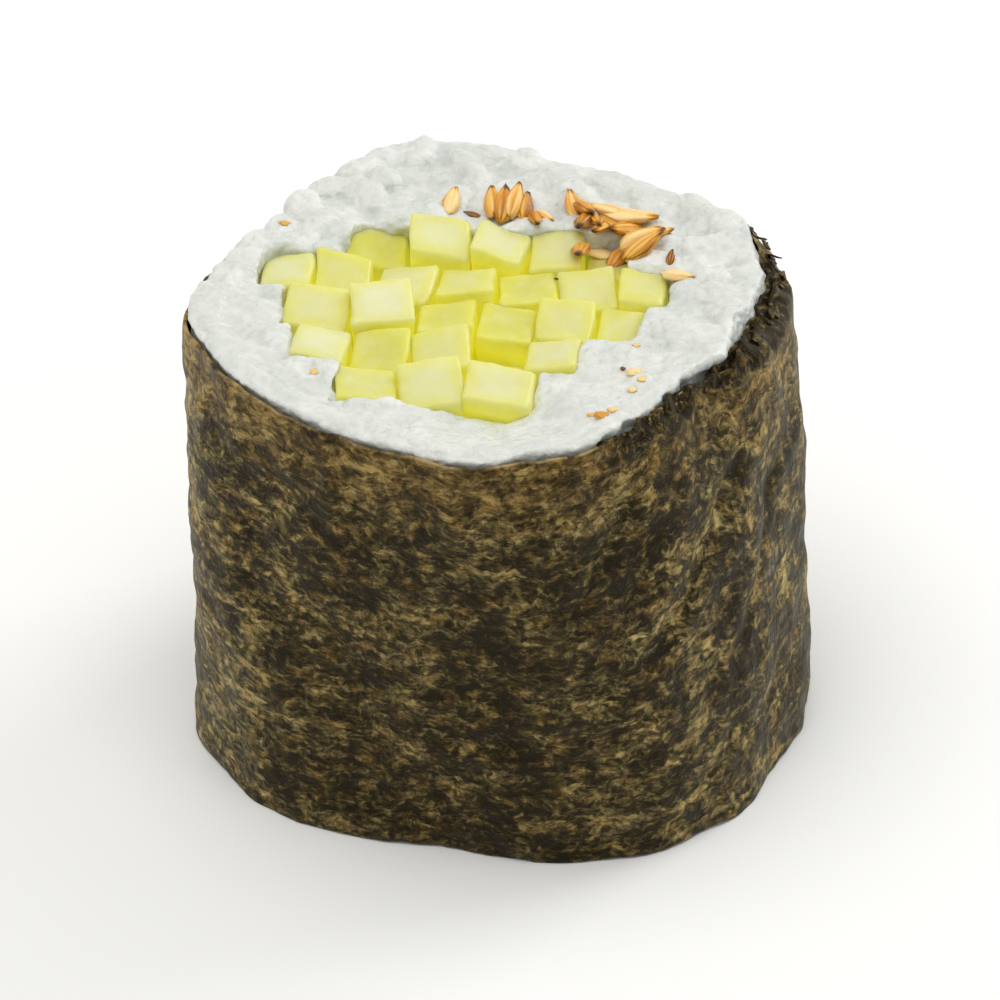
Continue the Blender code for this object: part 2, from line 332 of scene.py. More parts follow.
# %% Nori fibres in the felt
# Fibres 0.1 mm wide lie in every direction of the sheet. Where stretched noise crosses its middle
# value it draws long thin curves, so each row below is one layer of such curves: its direction in
# degrees, length and spacing in mm, and how wide a band counts as a fibre. A second noise breaks
# the curves into pieces.
FIBRE_LAYERS = (
    (8.0, 1.7, 0.60, 0.060),
    (-31.0, 1.5, 0.55, 0.060),
    (52.0, 1.6, 0.60, 0.060),
    (84.0, 2.2, 0.60, 0.060),
    (-66.0, 1.6, 0.55, 0.060),
    (24.0, 0.9, 0.36, 0.080),
    (-50.0, 0.8, 0.34, 0.080),
    (75.0, 1.0, 0.36, 0.080),
)
felt_fibres = None
for layer, (turn, length, spacing, band) in enumerate(FIBRE_LAYERS):
    turned = add(
        tree, "Mapping",
        {
            "Vector": drifting,
            "Location": (17.0 * layer, 5.0 * layer, 0.0),
            "Rotation": (0.0, 0.0, math.radians(turn)),
            "Scale": (1.0 / length, 1.0 / spacing, 1.0),
        },
    )
    curves = add(tree, "TexNoise", {"Vector": turned, "Scale": 1.0, "Detail": 1.0})
    centred = add(tree, "Math", {0: curves, 1: 0.5}, operation="SUBTRACT")
    away = add(tree, "Math", {0: centred}, operation="ABSOLUTE")
    strand = add(tree, "MapRange", {"Value": away, "From Max": band, "To Min": 1.0, "To Max": 0.0})
    broken = add(tree, "TexNoise", {"Vector": turned, "Scale": 0.9, "Detail": 0.0})
    kept = add(tree, "MapRange", {"Value": broken, "From Min": 0.50, "From Max": 0.60})
    pieces = add(tree, "Math", {0: strand, 1: kept}, operation="MULTIPLY")
    if felt_fibres:
        pieces = add(tree, "Math", {0: felt_fibres, 1: pieces}, operation="MAXIMUM")
    felt_fibres = pieces
print(len(FIBRE_LAYERS), "layers of fibres in the felt")

# %% Nori specks
# Between the fibres lie crushed bits of leaf, a quarter to half a millimetre across, each with a
# shade of its own: bits per mm, how many times longer than wide, and direction in degrees.
SPECK_LAYERS = ((3.4, 1.5, 20.0), (2.3, 2.4, -40.0), (4.6, 1.7, 80.0))
speck_sum = None
for bits, stretch, turn in SPECK_LAYERS:
    turned = add(
        tree, "Mapping",
        {
            "Vector": drifting,
            "Rotation": (0.0, 0.0, math.radians(turn)),
            "Scale": (bits / stretch, bits, 1.0),
        },
    )
    cells = add(tree, "TexVoronoi", {"Vector": turned, "Scale": 1.0}, voronoi_dimensions="2D")
    shade = add(tree, "SeparateColor", {"Color": cells.outputs["Color"]})
    speck_sum = add(tree, "Math", {0: speck_sum, 1: shade}) if speck_sum else shade
specks = add(
    tree, "MapRange", {"Value": speck_sum, "From Max": len(SPECK_LAYERS), "To Min": -0.5, "To Max": 0.5}
)
print(len(SPECK_LAYERS), "layers of specks")

# %% Nori film
# The film is thick and nearly black in some places, thin and olive in others: patches 5 mm and
# 2 mm across, and a fine felt of 0.4 mm. Towards the sheet's outer end the felt was combed upright.
blotch_wide = add(tree, "TexNoise", {"Vector": drifting, "Scale": 0.20, "Detail": 2.0})
blotch_small = add(
    tree, "TexNoise", {"Vector": drifting, "Scale": 0.55, "Detail": 3.0, "Roughness": 0.6}
)
blotches = add(tree, "Mix", {"Factor": 0.60, "A": blotch_wide, "B": blotch_small}, data_type="FLOAT")
fine_felt = add(tree, "TexNoise", {"Vector": drifting, "Scale": 2.6, "Detail": 3.0, "Roughness": 0.7})
combed_at = add(tree, "Mapping", {"Vector": drifting, "Scale": (3.0, 0.5, 1.0)})
combed = add(tree, "TexNoise", {"Vector": combed_at, "Scale": 1.0, "Detail": 3.0, "Roughness": 0.6})
combed_share = add(
    tree, "MapRange",
    {"Value": on_sheet.outputs["X"], "From Min": 86.0, "From Max": 95.0, "To Max": 0.75},
    interpolation_type="SMOOTHSTEP",
)
felt = add(tree, "Mix", {"Factor": combed_share, "A": fine_felt, "B": combed}, data_type="FLOAT")

# %% Nori: how golden it is
# Patches, specks, felt and fibres are added up to one value, from 0 for black film to 1 for gold.
# The left of the roll gets painted light, a little more gold, and the top few millimetres are more
# golden. Away from the front the value is scaled up, so the sides are livelier.
FRONT_ON_SHEET = 75.5

# Painted light: the left of the roll is made a little more golden, standing in for light from that
# side.
painted_left_light = add(
    tree, "MapRange",
    {"Value": on_sheet.outputs["X"], "From Min": 56.0, "From Max": 68.0, "To Min": 0.08, "To Max": 0.0},
    interpolation_type="SMOOTHSTEP",
)
near_rim = add(
    tree, "MapRange",
    {"Value": on_sheet.outputs["Y"], "From Min": 20.0, "From Max": 25.0, "To Max": 0.07},
    interpolation_type="SMOOTHSTEP",
)
from_front = add(tree, "Math", {0: on_sheet.outputs["X"], 1: FRONT_ON_SHEET}, operation="SUBTRACT")
away_from_front = add(tree, "Math", {0: from_front}, operation="ABSOLUTE")
lively = add(
    tree, "MapRange",
    {"Value": away_from_front, "From Min": 5.0, "From Max": 14.0, "To Min": 1.03, "To Max": 1.2},
    interpolation_type="SMOOTHSTEP",
)
patch_part = add(tree, "Math", {0: blotches, 1: 1.9, 2: -0.70}, operation="MULTIPLY_ADD")
felt_part = add(tree, "Math", {0: felt, 1: 1.15, 2: -0.575}, operation="MULTIPLY_ADD")
speck_part = add(tree, "Math", {0: specks, 1: 0.72, 2: felt_part}, operation="MULTIPLY_ADD")
fibre_part = add(tree, "Math", {0: felt_fibres, 1: 0.22, 2: speck_part}, operation="MULTIPLY_ADD")
patchy = add(tree, "Math", {0: patch_part, 1: fibre_part})
sided = add(tree, "Math", {0: patchy, 1: painted_left_light})
rimmed = add(tree, "Math", {0: sided, 1: near_rim})
gold_value = add(tree, "Math", {0: rimmed, 1: lively}, operation="MULTIPLY")

# %% Nori colour
# The value runs up a ramp from black-brown through olive to pale gold. Some gold is more orange,
# above all near the rim.
skin_place = add(tree, "Math", {0: gold_value, 1: 0.7}, operation="MULTIPLY")
skin = add(
    tree, "ValToRGB", {"Fac": skin_place},
    stops=(
        (0.0, "#0D0A04"), (0.14, "#17130A"), (0.28, "#342C18"), (0.44, "#625636"), (0.7, "#AE9A63"),
        (1.0, "#D9CD9B"),
    ),
)
rust = add(tree, "TexNoise", {"Vector": drifting, "Scale": 1.1, "Detail": 3.0})
rust_share = add(tree, "MapRange", {"Value": rust, "From Min": 0.50, "From Max": 0.68, "To Max": 0.30})
rim_rust = add(tree, "Math", {0: near_rim, 1: 4.0, 2: rust_share}, operation="MULTIPLY_ADD")
rust_amount = add(tree, "Math", {0: rim_rust, 1: gold_value}, operation="MULTIPLY")
golden = add(tree, "Mix", {"Factor": rust_amount, "A": skin, "B": "#A87C34"}, data_type="RGBA")

# Where the rim is torn the sheet is nearly black and shows only flecks of gold: partly the darker
# doubled, ragged sheet, partly painted shade of the rim that leans in.
torn_here = add(tree, "Attribute", attribute_name="torn").outputs["Fac"]
torn_flecks = add(
    tree, "MapRange",
    {"Value": fine_felt, "From Min": 0.48, "From Max": 0.62, "To Min": 1.0, "To Max": 0.5},
)
torn_dark_and_shade = add(tree, "Math", {0: torn_here, 1: torn_flecks}, operation="MULTIPLY")
torn_dark_and_shade_skin = add(tree, "Mix", {"Factor": torn_dark_and_shade, "A": golden, "B": "#120E08"}, data_type="RGBA")

# Along the cut edge at the top of the sheet, a thin, broken amber line is painted.
cut_edge = add(
    tree, "MapRange",
    {"Value": on_sheet.outputs["Y"], "From Min": 25.1, "From Max": 25.2, "To Max": 0.7},
)
whole = add(tree, "Math", {0: 1.0, 1: torn_here}, operation="SUBTRACT")
edge_amount = add(tree, "Math", {0: cut_edge, 1: whole}, operation="MULTIPLY")
edge_broken = add(tree, "MapRange", {"Value": blotch_small, "From Min": 0.42, "From Max": 0.62})
edge_share = add(tree, "Math", {0: edge_amount, 1: edge_broken}, operation="MULTIPLY")
nori_colour = add(tree, "Mix", {"Factor": edge_share, "A": torn_dark_and_shade_skin, "B": "#BFA676"}, data_type="RGBA")

# %% Nori gloss and relief
# Roasting leaves a dry, uneven gloss with a warm tint. Fine loose fibres give a faint sheen where
# the wall turns away. The felt stands about a tenth of a millimetre proud.
gloss = add(
    tree, "MapRange",
    {"Value": blotch_small, "From Min": 0.35, "From Max": 0.65, "To Min": 0.42, "To Max": 0.66},
)
felt_height = add(tree, "Math", {0: speck_part, 1: patch_part})
felt_bump = add(tree, "Bump", {"Height": felt_height, "Strength": 0.8, "Distance": 0.12 * MM})
fill(
    shader,
    {
        "Base Color": nori_colour,
        "Roughness": gloss,
        "IOR": 1.45,
        "Specular IOR Level": 0.26,
        "Specular Tint": "#FFE2AC",
        "Sheen Weight": 0.075,
        "Sheen Roughness": 0.45,
        "Sheen Tint": "#D2CC9C",
        "Normal": felt_bump,
    },
)
print("roasted nori:", len(tree.nodes), "nodes")

# %% [markdown]
# ## Nori: the sheet
# The real sheet is flat and is rolled round the rice with a short overlap, so it is made that way:
# a fine flat grid gets its UV map while it is still flat, and is then rolled along the wall. Rice
# grains push soft bumps into it, folding leaves creases, and the knife leaves ragged edges, with
# a torn stretch along the front right of the rim whose end leans in over the rice. Solidify gives
# the sheet its thickness at the end.

# %% Sizes of the sheet
NORI_THICK = 0.18 * MM
LAP_START = math.radians(-25.0)
LAP_ANGLE = math.radians(37.0)
LAP_DEPTH = 0.45 * MM
LAP_RAMP = math.radians(22.0)
SHEET_TURN = 2.0 * math.pi + LAP_ANGLE
SHEET_LENGTH = SHEET_TURN * 0.5 * (BASE_RADIUS + RIM_RADIUS)
print("flat sheet in mm:", round(SHEET_LENGTH / MM, 1), "by", round(NORI_HEIGHT / MM, 1))


def nori_depth(turned):
    """How far the sheet lies under the outer face, after this much turning from its inner end."""
    return LAP_DEPTH * (1.0 - smooth_step((turned - LAP_ANGLE) / LAP_RAMP))


# %% Shape of the rim
# The rice swells over the rim at the back, and hangs over it least at the front. From TORN_FROM
# to TORN_TO the rim is torn, and round FLAP_MIDDLE the torn edge leans in as a flap.
EDGE_WAVE = 0.16 * MM
LIP_DIRECTION = math.radians(62.0)
LIP_RIM_DROP = 0.4 * MM
BRIM_DIRECTION = math.radians(100.0)
BRIM_RIM_DROP = 0.25 * MM
FRONT_BRIM = 0.4
TORN_FROM = math.radians(-68.0)
TORN_TO = math.radians(27.0)
TORN_EASE = math.radians(9.0)
TORN_LEAN = 0.2 * MM
FLAP_MIDDLE = math.radians(8.0)
FLAP_HALF = math.radians(32.0)
FLAP_LEAN = 0.6 * MM
FLAP_RISE = 0.2 * MM


def edge_wave(angle):
    return 0.6 * math.sin(7.0 * angle + 0.8) + 0.4 * math.sin(17.0 * angle)


def lip_share(angle):
    """From 0 to 1, how strongly the rice swells over the rim in this direction."""
    return smooth_step(0.5 + 0.9 * math.cos(angle - LIP_DIRECTION))


def flap_share(angle):
    """1 where a torn flap leans in over the rice at the right, 0 away from it."""
    turned = (angle - FLAP_MIDDLE + math.pi) % (2.0 * math.pi) - math.pi
    return smooth_step(2.0 * (1.0 - abs(turned) / FLAP_HALF))


def brim_share(angle):
    """From 0 to 1, how far the grains may hang over the rim: least at the front and the flap."""
    share = FRONT_BRIM + (1.0 - FRONT_BRIM) * smooth_step(0.9 + 1.3 * math.cos(angle - BRIM_DIRECTION))
    return share * (1.0 - flap_share(angle))


def torn_share(angle):
    """1 along the torn stretch of the rim, 0 elsewhere."""
    turned = (angle - TORN_FROM) % (2.0 * math.pi)
    length = TORN_TO - TORN_FROM
    if turned >= length:
        return 0.0
    return smooth_step(turned / TORN_EASE) * smooth_step((length - turned) / TORN_EASE)


def rim_height(angle):
    drop = LIP_RIM_DROP * lip_share(angle) + BRIM_RIM_DROP * brim_share(angle)
    return NORI_HEIGHT + EDGE_WAVE * edge_wave(angle) - drop


def foot_height(angle):
    return 0.4 * EDGE_WAVE * (1.0 + edge_wave(angle + 2.0))


print("torn stretch of the rim in degrees:", round(math.degrees(TORN_TO - TORN_FROM)))

# %% Creases and bumps
# Soft creases: direction round the roll in degrees and height in mm of both ends, depth, width
CREASES = (
    (-20.0, 21.5, -62.0, 11.5, 0.30, 0.75),
    (-8.0, 19.0, -40.0, 8.0, 0.26, 0.6),
    (-55.0, 23.0, -78.0, 15.0, 0.18, 0.6),
    (-100.0, 14.5, -122.0, 9.0, 0.17, 0.6),
    (-70.0, 8.5, -104.0, 7.0, 0.17, 0.7),
    (-130.0, 21.0, -160.0, 12.0, 0.12, 0.7),
    (-35.0, 6.0, -55.0, 2.0, 0.22, 0.6),
    (30.0, 20.0, 60.0, 9.0, 0.15, 0.8),
    (85.0, 18.0, 110.0, 6.0, 0.14, 0.7),
    (150.0, 20.0, 170.0, 7.0, 0.15, 0.8),
)
# The creases are measured in mm along a wall of this radius in mm.
CREASE_RADIUS = 15.0

# A finger left a wide hollow in the right side: direction in degrees and height in mm of its
# middle, and how far it reaches both ways.
SIDE_HOLLOW = 0.5 * MM
SIDE_HOLLOW_AT = (-3.0, 11.5)
SIDE_HOLLOW_REACH = (26.0, 7.5)


def half_turns(angle):
    """The direction in degrees, from -180 to 180."""
    return (math.degrees(angle) + 180.0) % 360.0 - 180.0


def crease_depth(angle, z):
    here = Vector((math.radians(half_turns(angle)) * CREASE_RADIUS, z / MM))
    depth = 0.0
    for from_angle, from_z, to_angle, to_z, deep, wide in CREASES:
        start = Vector((math.radians(from_angle) * CREASE_RADIUS, from_z))
        end = Vector((math.radians(to_angle) * CREASE_RADIUS, to_z))
        line = end - start
        share = min(max((here - start).dot(line) / line.length_squared, 0.0), 1.0)
        away = (here - start - line * share).length
        ends = smooth_step(share * 4.0) * smooth_step((1.0 - share) * 4.0)
        depth += deep * math.exp(-((away / wide) ** 2)) * ends
    return depth * MM


def side_hollow(angle, z):
    across = ((half_turns(angle) - SIDE_HOLLOW_AT[0]) / SIDE_HOLLOW_REACH[0]) ** 2
    across += ((z / MM - SIDE_HOLLOW_AT[1]) / SIDE_HOLLOW_REACH[1]) ** 2
    return SIDE_HOLLOW * math.exp(-across)


def sheet_relief(angle, z):
    """How far the sheet bulges outwards here: bumps over the grains of rice, less the creases."""
    here = wall_point(angle, z)
    push = 0.20 * lumps(here, 3.3 * MM, 1.0) + 0.14 * lumps(here, 1.6 * MM, 2.0)
    push += 0.06 * lumps(here, 0.75 * MM, 4.0)
    return push * MM - crease_depth(angle, z) - side_hollow(angle, z)


print(len(CREASES), "creases")

# %% Where each point of the sheet goes
# Along the sheet the edges are ragged: a little all round, and strongly where the rim is torn.
# There the top 8 % of the height is crumpled too, and the top 4.5 % leans in.
FLARE_FROM = 0.92
FLARE_REACH = 0.06
LEAN_FROM = 0.955
LEAN_REACH = 0.045


def ragged_top(arc, torn):
    ragged = 0.10 * lumps(arc, 0.9 * MM, 3.0) + 0.06 * lumps(arc, 0.45 * MM, 7.0)
    ragged += torn * (0.25 * lumps(arc, 1.3 * MM, 11.0) + 0.25 * lumps(arc, 0.5 * MM, 13.0))
    return ragged * MM


def sheet_place(along, up):
    """Where a point of the flat sheet, given as shares of its length and width, ends up."""
    turned = along * SHEET_TURN
    angle = LAP_START + turned
    arc = Vector((along * SHEET_LENGTH, 0.0, 0.0))
    torn = torn_share(angle)
    top = rim_height(angle) + ragged_top(arc, torn) + FLAP_RISE * flap_share(angle)
    ragged_foot = 0.2 * lumps(arc, 2.2 * MM, 17.0) + 0.1 * lumps(arc, 0.9 * MM, 23.0)
    foot = foot_height(angle) + abs(ragged_foot) * MM
    z = foot + up * (top - foot)
    flare = torn * smooth_step((up - FLARE_FROM) / FLARE_REACH)
    crumple = 0.15 * lumps(arc, 1.6 * MM, 19.0)
    crumple += 0.30 * lumps(arc + Vector((0.0, z, 0.0)), 0.7 * MM, 21.0)
    lean_in = TORN_LEAN * torn + FLAP_LEAN * flap_share(angle)
    push = sheet_relief(angle, z) + flare * (0.08 + crumple) * MM
    push -= lean_in * smooth_step((up - LEAN_FROM) / LEAN_REACH)
    return wall_point(angle, z, nori_depth(turned) - push)


# %% Nori sheet
# The rows of the grid crowd towards the rim, where the shape is finest. The "torn" value marks
# the torn band of the rim for the material.
SHEET_STEPS = 400
SHEET_LEVELS = 96
LEVEL_CROWDING = 1.3
TORN_BAND_FROM = 0.93
TORN_BAND_REACH = 0.03

sheet = bmesh.new()
bmesh.ops.create_grid(sheet, x_segments=SHEET_STEPS, y_segments=SHEET_LEVELS, size=0.5)
for corner in sheet.verts:
    corner.co.y = 0.5 - (0.5 - corner.co.y) ** LEVEL_CROWDING
uv_layer = sheet.loops.layers.uv.new("sheet")
for face in sheet.faces:
    for loop in face.loops:
        flat = loop.vert.co
        loop[uv_layer].uv = ((flat.x + 0.5) * SHEET_LENGTH / MM, (flat.y + 0.5) * NORI_HEIGHT / MM)
torn_layer = sheet.verts.layers.float.new("torn")
for corner in sheet.verts:
    along = corner.co.x + 0.5
    up = corner.co.y + 0.5
    band = TORN_BAND_FROM + 0.045 * lumps(Vector((along * SHEET_LENGTH, 0.0, 0.0)), 1.3 * MM, 29.0)
    in_band = smooth_step((up - band) / TORN_BAND_REACH)
    corner[torn_layer] = torn_share(LAP_START + along * SHEET_TURN) * in_band
    corner.co = sheet_place(along, up)
bmesh.ops.recalc_face_normals(sheet, faces=sheet.faces)
nori = new_piece("nori_sheet", sheet, nori_material)
thickness = nori.modifiers.new("sheet thickness", "SOLIDIFY")
thickness.thickness = NORI_THICK
thickness.offset = -1.0
bake_modifiers(nori)
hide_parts("nori_wrap")
report(nori)

# %% [markdown]
# ## Nori: torn flakes
# Dry nori doesn't cut cleanly everywhere. Along the front right of the rim the knife tore it, and
# small curled scraps stand there against the rice. They are too loose to be part of the rolled
# grid, so each scrap is a tiny grid of its own, curled and given a ragged outline, then carried to
# the rim. Solidify makes them as thick as one layer of the sheet.

# %% One flake
FLAKE_CELLS = (8, 4)
FLAKE_RAGGED = 0.5
FLAKE_WAVE = 0.12


def add_flake(flakes, chance, middle, turn, size, curl, torn_value):
    """One scrap: a grid with a ragged outline, rolled round its own y axis, turned and placed."""
    across, up = FLAKE_CELLS
    made = bmesh.ops.create_grid(flakes, x_segments=across, y_segments=up, size=0.5)["verts"]
    shift = Vector((chance.uniform(0.0, 90.0), chance.uniform(2.0, 20.0)))
    uv = flakes.loops.layers.uv["sheet"]
    torn = flakes.verts.layers.float["torn"]
    for face in {face for corner in made for face in corner.link_faces}:
        for loop in face.loops:
            flat = loop.vert.co
            loop[uv].uv = (flat.x * size[0] / MM + shift.x, flat.y * size[1] / MM + shift.y)
    seed = chance.uniform(0.0, 50.0)
    for corner in made:
        corner[torn] = torn_value
        flat = corner.co.copy()
        edge = 1.0 + FLAKE_RAGGED * noise.noise(Vector((3.0 * flat.x, 3.0 * flat.y, seed)))
        edge -= 0.3 * (2.0 * flat.x) ** 2 * abs(flat.y)
        x = flat.x * size[0] * edge
        y = flat.y * size[1] * edge
        bend = curl * flat.x
        rolled = math.copysign(abs(x) * math.sin(0.5 * abs(bend)), curl)
        wave = FLAKE_WAVE * size[1] * noise.noise(Vector((4.0 * flat.x, 3.0 * flat.y, seed + 9.0)))
        corner.co = middle + turn @ Vector((x * math.cos(0.5 * bend), y, rolled + wave))


def wall_turn(angle):
    """Turns x round the wall, y up it and z outwards."""
    around = Vector((-math.sin(angle), math.cos(angle), 0.0))
    return Matrix((around, Vector((0.0, 0.0, 1.0)), outwards(angle))).transposed()


# %% Nori flakes
FLAKE_COUNT = 46
FLAKE_THICK = 0.07 * MM
FIRST_FLAKE = TORN_FROM + math.radians(4.0)
FLAP_TIP_IN = 0.7

flake_chance = random.Random(31)
flakes = bmesh.new()
flakes.loops.layers.uv.new("sheet")
flakes.verts.layers.float.new("torn")
for number in range(FLAKE_COUNT):
    share = (number + flake_chance.random()) / FLAKE_COUNT
    angle = FIRST_FLAKE + share * (TORN_TO - TORN_FROM)
    below = flake_chance.uniform(0.05, 0.8) * MM
    out = flake_chance.uniform(-0.2, 0.08) * MM
    flap = flap_share(angle)
    tip_in = flake_chance.uniform(-0.5, 0.1) - FLAP_TIP_IN * flap
    lean = Euler((tip_in, flake_chance.uniform(-0.3, 0.3), flake_chance.uniform(-0.4, 0.4)))
    size = (flake_chance.uniform(0.6, 1.3) * MM, flake_chance.uniform(0.35, 0.6) * MM)
    height = rim_height(angle) + FLAP_RISE * flap - below
    middle = wall_point(angle, height, 0.5 * FLAP_LEAN * flap - out)
    curl = flake_chance.uniform(-1.0, 1.2)
    # How much of the torn rim's near-black colour the flake takes, which is partly painted shade.
    torn_value = flake_chance.uniform(0.1, 0.8)
    add_flake(flakes, flake_chance, middle, wall_turn(angle) @ lean.to_matrix(), size, curl, torn_value)
bmesh.ops.recalc_face_normals(flakes, faces=flakes.faces)
nori_flakes = new_piece("nori_flakes", flakes, nori_material)
flake_wall = nori_flakes.modifiers.new("flake thickness", "SOLIDIFY")
flake_wall.thickness = FLAKE_THICK
flake_wall.offset = 0.0
bake_modifiers(nori_flakes)
report(nori_flakes)

# %% [markdown]
# ## Nori: loose fibres
# Single fibres stand a little proud of the felt and catch the light as golden hairs, a few of
# them bleached nearly white. Particle hair would be quick, but wouldn't leave a mesh to reuse, so
# a thin bar with cuts along it is bent over the wall for each. They have a material of their own,
# whose colour runs from brown to cream with an attribute.

# %% Fibre material
# Dry fibres are half matt, brown to cream, with flecks of 0.4 mm along them.
fibre_material, tree, shader = new_material("dry seaweed fibre")
fibre_tone = add(tree, "Attribute", attribute_name="tone").outputs["Fac"]
fibre_ramp = add(
    tree, "ValToRGB", {"Fac": fibre_tone}, stops=((0.0, "#3A2D16"), (0.6, "#9C7F45"), (1.0, "#F4F1E6"))
)
place_on = add(tree, "TexCoord").outputs["Object"]
streak = add(tree, "TexNoise", {"Vector": place_on, "Scale": 2.5 * PER_MM, "Detail": 2.0})
streaked = add(
    tree, "Mix", {"Factor": 0.3, "A": fibre_ramp, "B": streak.outputs["Color"]},
    data_type="RGBA", blend_type="SOFT_LIGHT",
)
fill(shader, {"Base Color": streaked, "Roughness": 0.5, "Specular IOR Level": 0.35})
print("dry seaweed fibre:", len(tree.nodes), "nodes")

# %% Fibres in known places
# Direction in degrees and height in mm, turn from level in degrees, length and width in mm, bend,
# tone from 0 brown to 1 cream, lift in mm. The last five are broad strips at the doubled side.
MARKED_FIBRES = (
    (-138.0, 2.7, 88.0, 1.0, 0.13, 0.1, 1.0, 0.03),
    (-50.0, 2.5, -24.0, 1.7, 0.10, -0.2, 0.95, 0.06),
    (-51.5, 3.6, -10.0, 1.0, 0.09, 0.3, 0.85, 0.05),
    (-44.0, 9.6, 60.0, 0.30, 0.18, 0.0, 1.0, 0.03),
    (-44.6, 9.1, 80.0, 0.35, 0.12, 0.0, 0.9, 0.03),
    (-94.5, 8.9, 65.0, 0.9, 0.16, 0.3, 0.62, 0.05),
    (-93.0, 8.6, 110.0, 0.6, 0.14, -0.3, 0.60, 0.05),
    (-96.0, 5.1, 80.0, 0.7, 0.18, 0.2, 0.58, 0.03),
    (2.0, 17.1, 70.0, 1.2, 0.12, 0.5, 0.45, 0.12),
    (5.0, 16.2, 115.0, 0.9, 0.12, -0.5, 0.40, 0.12),
    (12.0, 11.0, 60.0, 1.0, 0.12, 0.5, 0.42, 0.12),
    (8.0, 4.5, 100.0, 0.9, 0.12, 0.5, 0.40, 0.10),
    (17.0, 22.8, 86.0, 3.0, 0.26, 0.05, 0.50, 0.03),
    (12.0, 22.2, 91.0, 4.0, 0.24, -0.04, 0.35, 0.06),
    (7.5, 21.8, 87.0, 4.2, 0.22, 0.05, 0.52, 0.05),
    (3.5, 22.4, 92.0, 3.0, 0.28, -0.05, 0.30, 0.06),
    (-1.5, 22.8, 84.0, 2.4, 0.26, 0.06, 0.48, 0.04),
)
print(len(MARKED_FIBRES), "fibres in known places")

# %% One fibre
FIBRE_CUTS = 5
FIBRE_MARGIN = 0.3 * MM
FIBRE_TAPER = 1.6

bar = bmesh.new()
bmesh.ops.create_cube(bar, size=1.0)
lengthwise = [edge for edge in bar.edges if abs(edge.verts[0].co.x - edge.verts[1].co.x) > 0.5]
bmesh.ops.subdivide_edges(bar, edges=lengthwise, cuts=FIBRE_CUTS, use_grid_fill=True)
bar_mesh = bpy.data.meshes.new("fibre bar")
bar.to_mesh(bar_mesh)
bar_points = len(bar.verts)
bar.free()


def lay_fibre(fibres, direction, height, turn, length, width, bend, tone_value, lift):
    """Bends one bar along the wall. Its ends lie on the sheet and its middle stands off it."""
    tone_layer = fibres.verts.layers.float["tone"]
    fibres.from_mesh(bar_mesh)
    fibres.verts.ensure_lookup_table()
    for corner in fibres.verts[-bar_points:]:
        x, y, z = corner.co
        sideways = bend * length * (x * x - 0.25) + width * y * (1.0 - FIBRE_TAPER * abs(x))
        around = length * x * math.cos(turn) - sideways * math.sin(turn)
        upwards = length * x * math.sin(turn) + sideways * math.cos(turn)
        angle = direction + around / BASE_RADIUS
        level = min(max(height + upwards, FIBRE_MARGIN), NORI_HEIGHT - FIBRE_MARGIN)
        proud = sheet_relief(angle, level) + lift * (1.0 - 4.0 * x * x) + 0.7 * width * z
        corner.co = wall_point(angle, level, -proud)
        corner[tone_layer] = tone_value


# %% Loose fibres
FIBRE_COUNT = 650
FIBRE_LOWEST = 0.8
FIBRE_HIGHEST = 24.6

fibre_chance = random.Random(47)
fibres = bmesh.new()
fibres.verts.layers.float.new("tone")
for _ in range(FIBRE_COUNT):
    direction = fibre_chance.uniform(0.0, 2.0 * math.pi)
    height = fibre_chance.uniform(FIBRE_LOWEST, FIBRE_HIGHEST) * MM
    turn = math.radians(fibre_chance.gauss(60.0, 45.0))
    length = fibre_chance.uniform(0.3, 0.9) * MM
    width = fibre_chance.uniform(0.06, 0.13) * MM
    bend = fibre_chance.uniform(-0.5, 0.5)
    tone_value = fibre_chance.triangular(0.05, 0.55, 0.25)
    lift = fibre_chance.uniform(-0.02, 0.03) * MM
    lay_fibre(fibres, direction, height, turn, length, width, bend, tone_value, lift)
for degrees, height, turn, length, width, bend, tone_value, lift in MARKED_FIBRES:
    lay_fibre(
        fibres, math.radians(degrees), height * MM, math.radians(turn), length * MM, width * MM, bend,
        tone_value, lift * MM,
    )
bpy.data.meshes.remove(bar_mesh)
bmesh.ops.recalc_face_normals(fibres, faces=fibres.faces)
nori_fibres = new_piece("nori_fibres", fibres, fibre_material, sharp_angle=60.0)
report(nori_fibres)

# %% [markdown]
# ## Rice: what it is
# Sushi rice is short-grain rice, cooked until it is sticky. A grain is about 6 mm long and 2.6 mm
# thick, white and slightly translucent, so light that goes in comes out a millimetre away and
# softens every shadow. A plain white surface would look like plaster, so the shader scatters
# light below the surface. A faint wet gloss comes from the starch.

# %% Rice material
rice_material, tree, shader = new_material("cooked sushi rice")
place_on = add(tree, "TexCoord").outputs["Object"]

# Clouds of 1.5 mm run through each grain, and every grain has its own whiteness.
clouds = add(
    tree, "TexNoise", {"Vector": place_on, "Scale": 0.65 * PER_MM, "Detail": 3.0, "Roughness": 0.6}
)
clouded = add(tree, "Mix", {"Factor": clouds, "A": "#DEE0DB", "B": "#F8F8F4"}, data_type="RGBA")
grain_tone = add(tree, "Attribute", attribute_name="tone").outputs["Fac"]
tone_share = add(tree, "Math", {0: grain_tone, 1: 0.45}, operation="MULTIPLY")
toned = add(tree, "Mix", {"Factor": tone_share, "A": clouded, "B": "#D0D5D0"}, data_type="RGBA")

# Cut and torn grains show small facets under a millimetre wide, each lit in its own way; noise paints
# that as patches of grey shade.
facets = add(tree, "TexNoise", {"Vector": place_on, "Scale": 1.3 * PER_MM, "Detail": 1.0})
facet_shade_share = add(
    tree, "MapRange", {"Value": facets, "From Min": 0.42, "From Max": 0.58, "To Max": 0.4}
)
facet_shaded = add(tree, "Mix", {"Factor": facet_shade_share, "A": toned, "B": "#CFD3CD"}, data_type="RGBA")
